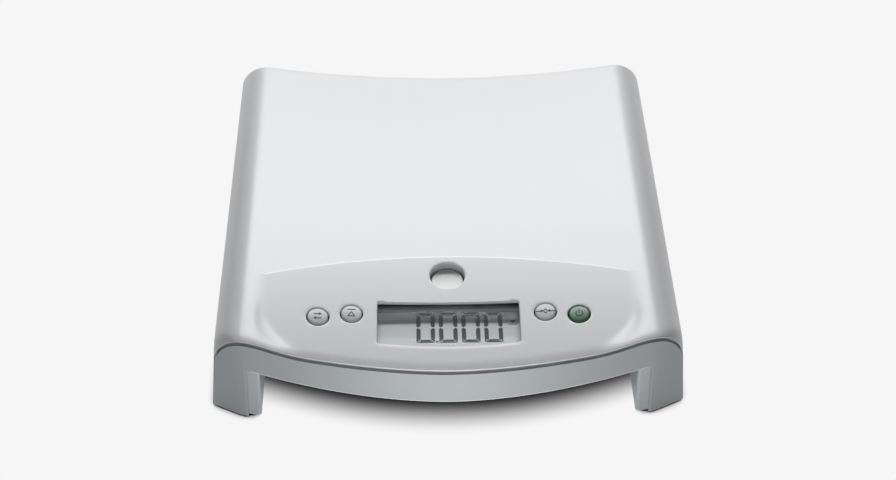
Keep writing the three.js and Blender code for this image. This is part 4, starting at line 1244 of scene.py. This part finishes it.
def pale_floor(name):
    """Matt pale paper floor. Seen or mirrored it is evenly bright, with a soft shadow drawn by place under
    the arch and by closeness beside the legs. To other rays it is plain matt, and from below clear."""
    material = bpy.data.materials.new(name)
    material.use_nodes = True
    tree = material.node_tree
    tree.nodes.clear()
    bounce = add_node(tree, "ShaderNodeBsdfDiffuse", Color=linear(floor_colour))
    place = add_node(tree, "ShaderNodeTexCoord")
    axes = add_node(tree, "ShaderNodeSeparateXYZ", Vector=place.outputs["Object"])
    x, y = axes.outputs["X"], axes.outputs["Y"]
    across = measure(tree, "ABSOLUTE", x, 0.0)
    outside = add_node(tree, "ShaderNodeMapRange", Value=across,
                       From_Min=shadow_inner_x, From_Max=shadow_outer_x)
    swept = measure(tree, "MULTIPLY", measure(tree, "MULTIPLY", x, x), shadow_sweep)
    before = measure(tree, "SUBTRACT", measure(tree, "ADD", swept, shadow_front_y), y)
    behind = measure(tree, "SUBTRACT", y, shadow_back_y)
    away = measure(tree, "MAXIMUM", before, behind)
    under = add_node(tree, "ShaderNodeMapRange", {"interpolation_type": "SMOOTHSTEP"}, Value=away,
                     From_Min=0.0, From_Max=shadow_reach, To_Min=shadow_dark, To_Max=1.0)
    close = add_node(tree, "ShaderNodeAmbientOcclusion", {"samples": 16}, Distance=close_reach)
    close_fade = add_node(tree, "ShaderNodeMapRange", Value=close.outputs["AO"],
                          From_Min=close_dark, From_Max=close_light)
    fade = add_node(tree, "ShaderNodeMapRange", Value=outside.outputs["Result"],
                    To_Min=under.outputs["Result"], To_Max=close_fade.outputs["Result"])
    shade = add_node(tree, "ShaderNodeEmission", Strength=fade.outputs["Result"],
                     Color=linear(floor_colour))
    path = add_node(tree, "ShaderNodeLightPath")
    seen = measure(tree, "MAXIMUM", path.outputs["Is Camera Ray"], path.outputs["Is Glossy Ray"])
    mix = add_node(tree, "ShaderNodeMixShader", Fac=seen)
    tree.links.new(bounce.outputs["BSDF"], mix.inputs[1])
    tree.links.new(shade.outputs["Emission"], mix.inputs[2])
    facing = add_node(tree, "ShaderNodeNewGeometry")
    clear = add_node(tree, "ShaderNodeBsdfTransparent")
    one_sided = add_node(tree, "ShaderNodeMixShader", Fac=facing.outputs["Backfacing"])
    tree.links.new(mix.outputs["Shader"], one_sided.inputs[1])
    tree.links.new(clear.outputs["BSDF"], one_sided.inputs[2])
    output = add_node(tree, "ShaderNodeOutputMaterial")
    tree.links.new(one_sided.outputs["Shader"], output.inputs["Surface"])
    return material


dress(floor, pale_floor("pale_floor"))


# Lamps, in metres and watts: softboxes behind and above light the platform and its ridges, a small card
# and a softbox in front light the apron
softbox_distance = 2
object_middle = (0, 0, 0.05)
apron_middle = (0, -0.16, 0.045)


def area_lamp(name, width, length, power, place, target):
    """A rectangular lamp that the camera doesn't see, aimed at a target."""
    data = bpy.data.lights.new(name, "AREA")
    data.shape = "RECTANGLE"
    data.size = width
    data.size_y = length
    data.energy = power
    lamp = bpy.data.objects.new(name, data)
    bpy.context.scene.collection.objects.link(lamp)
    lamp.location = place
    lamp.rotation_euler = (Vector(target) - lamp.location).to_track_quat("-Z", "Y").to_euler()
    lamp.visible_camera = False


def softbox(name, low, high, width, power):
    """A lamp behind the object that fills the sky between two elevations in degrees."""
    middle = math.radians((low + high) / 2)
    length = 2 * softbox_distance * math.tan(math.radians((high - low) / 2))
    place = (0, softbox_distance * math.cos(middle), softbox_distance * math.sin(middle))
    area_lamp(name, width, length, power, place, object_middle)


softbox("softbox_low", 20, 30, 1.3, 5)
softbox("softbox_wide", 30, 38, 3, 5.2)
softbox("softbox_main", 42, 49, 1.3, 26)
area_lamp("front_card", 0.1, 0.06, 0.155, (0, -0.32, 0.045), apron_middle)
area_lamp("front_softbox", 0.8, 0.5, 2.4, (0, -1.4, 0.5), apron_middle)

# Faint even light from all round
world_light = 0.03
world = bpy.data.worlds.new("studio")
bpy.context.scene.world = world
world.use_nodes = True
sky = world.node_tree.nodes["Background"]
sky.inputs["Color"].default_value = (1, 1, 1, 1)
sky.inputs["Strength"].default_value = world_light

bpy.context.scene.view_settings.view_transform = "Standard"
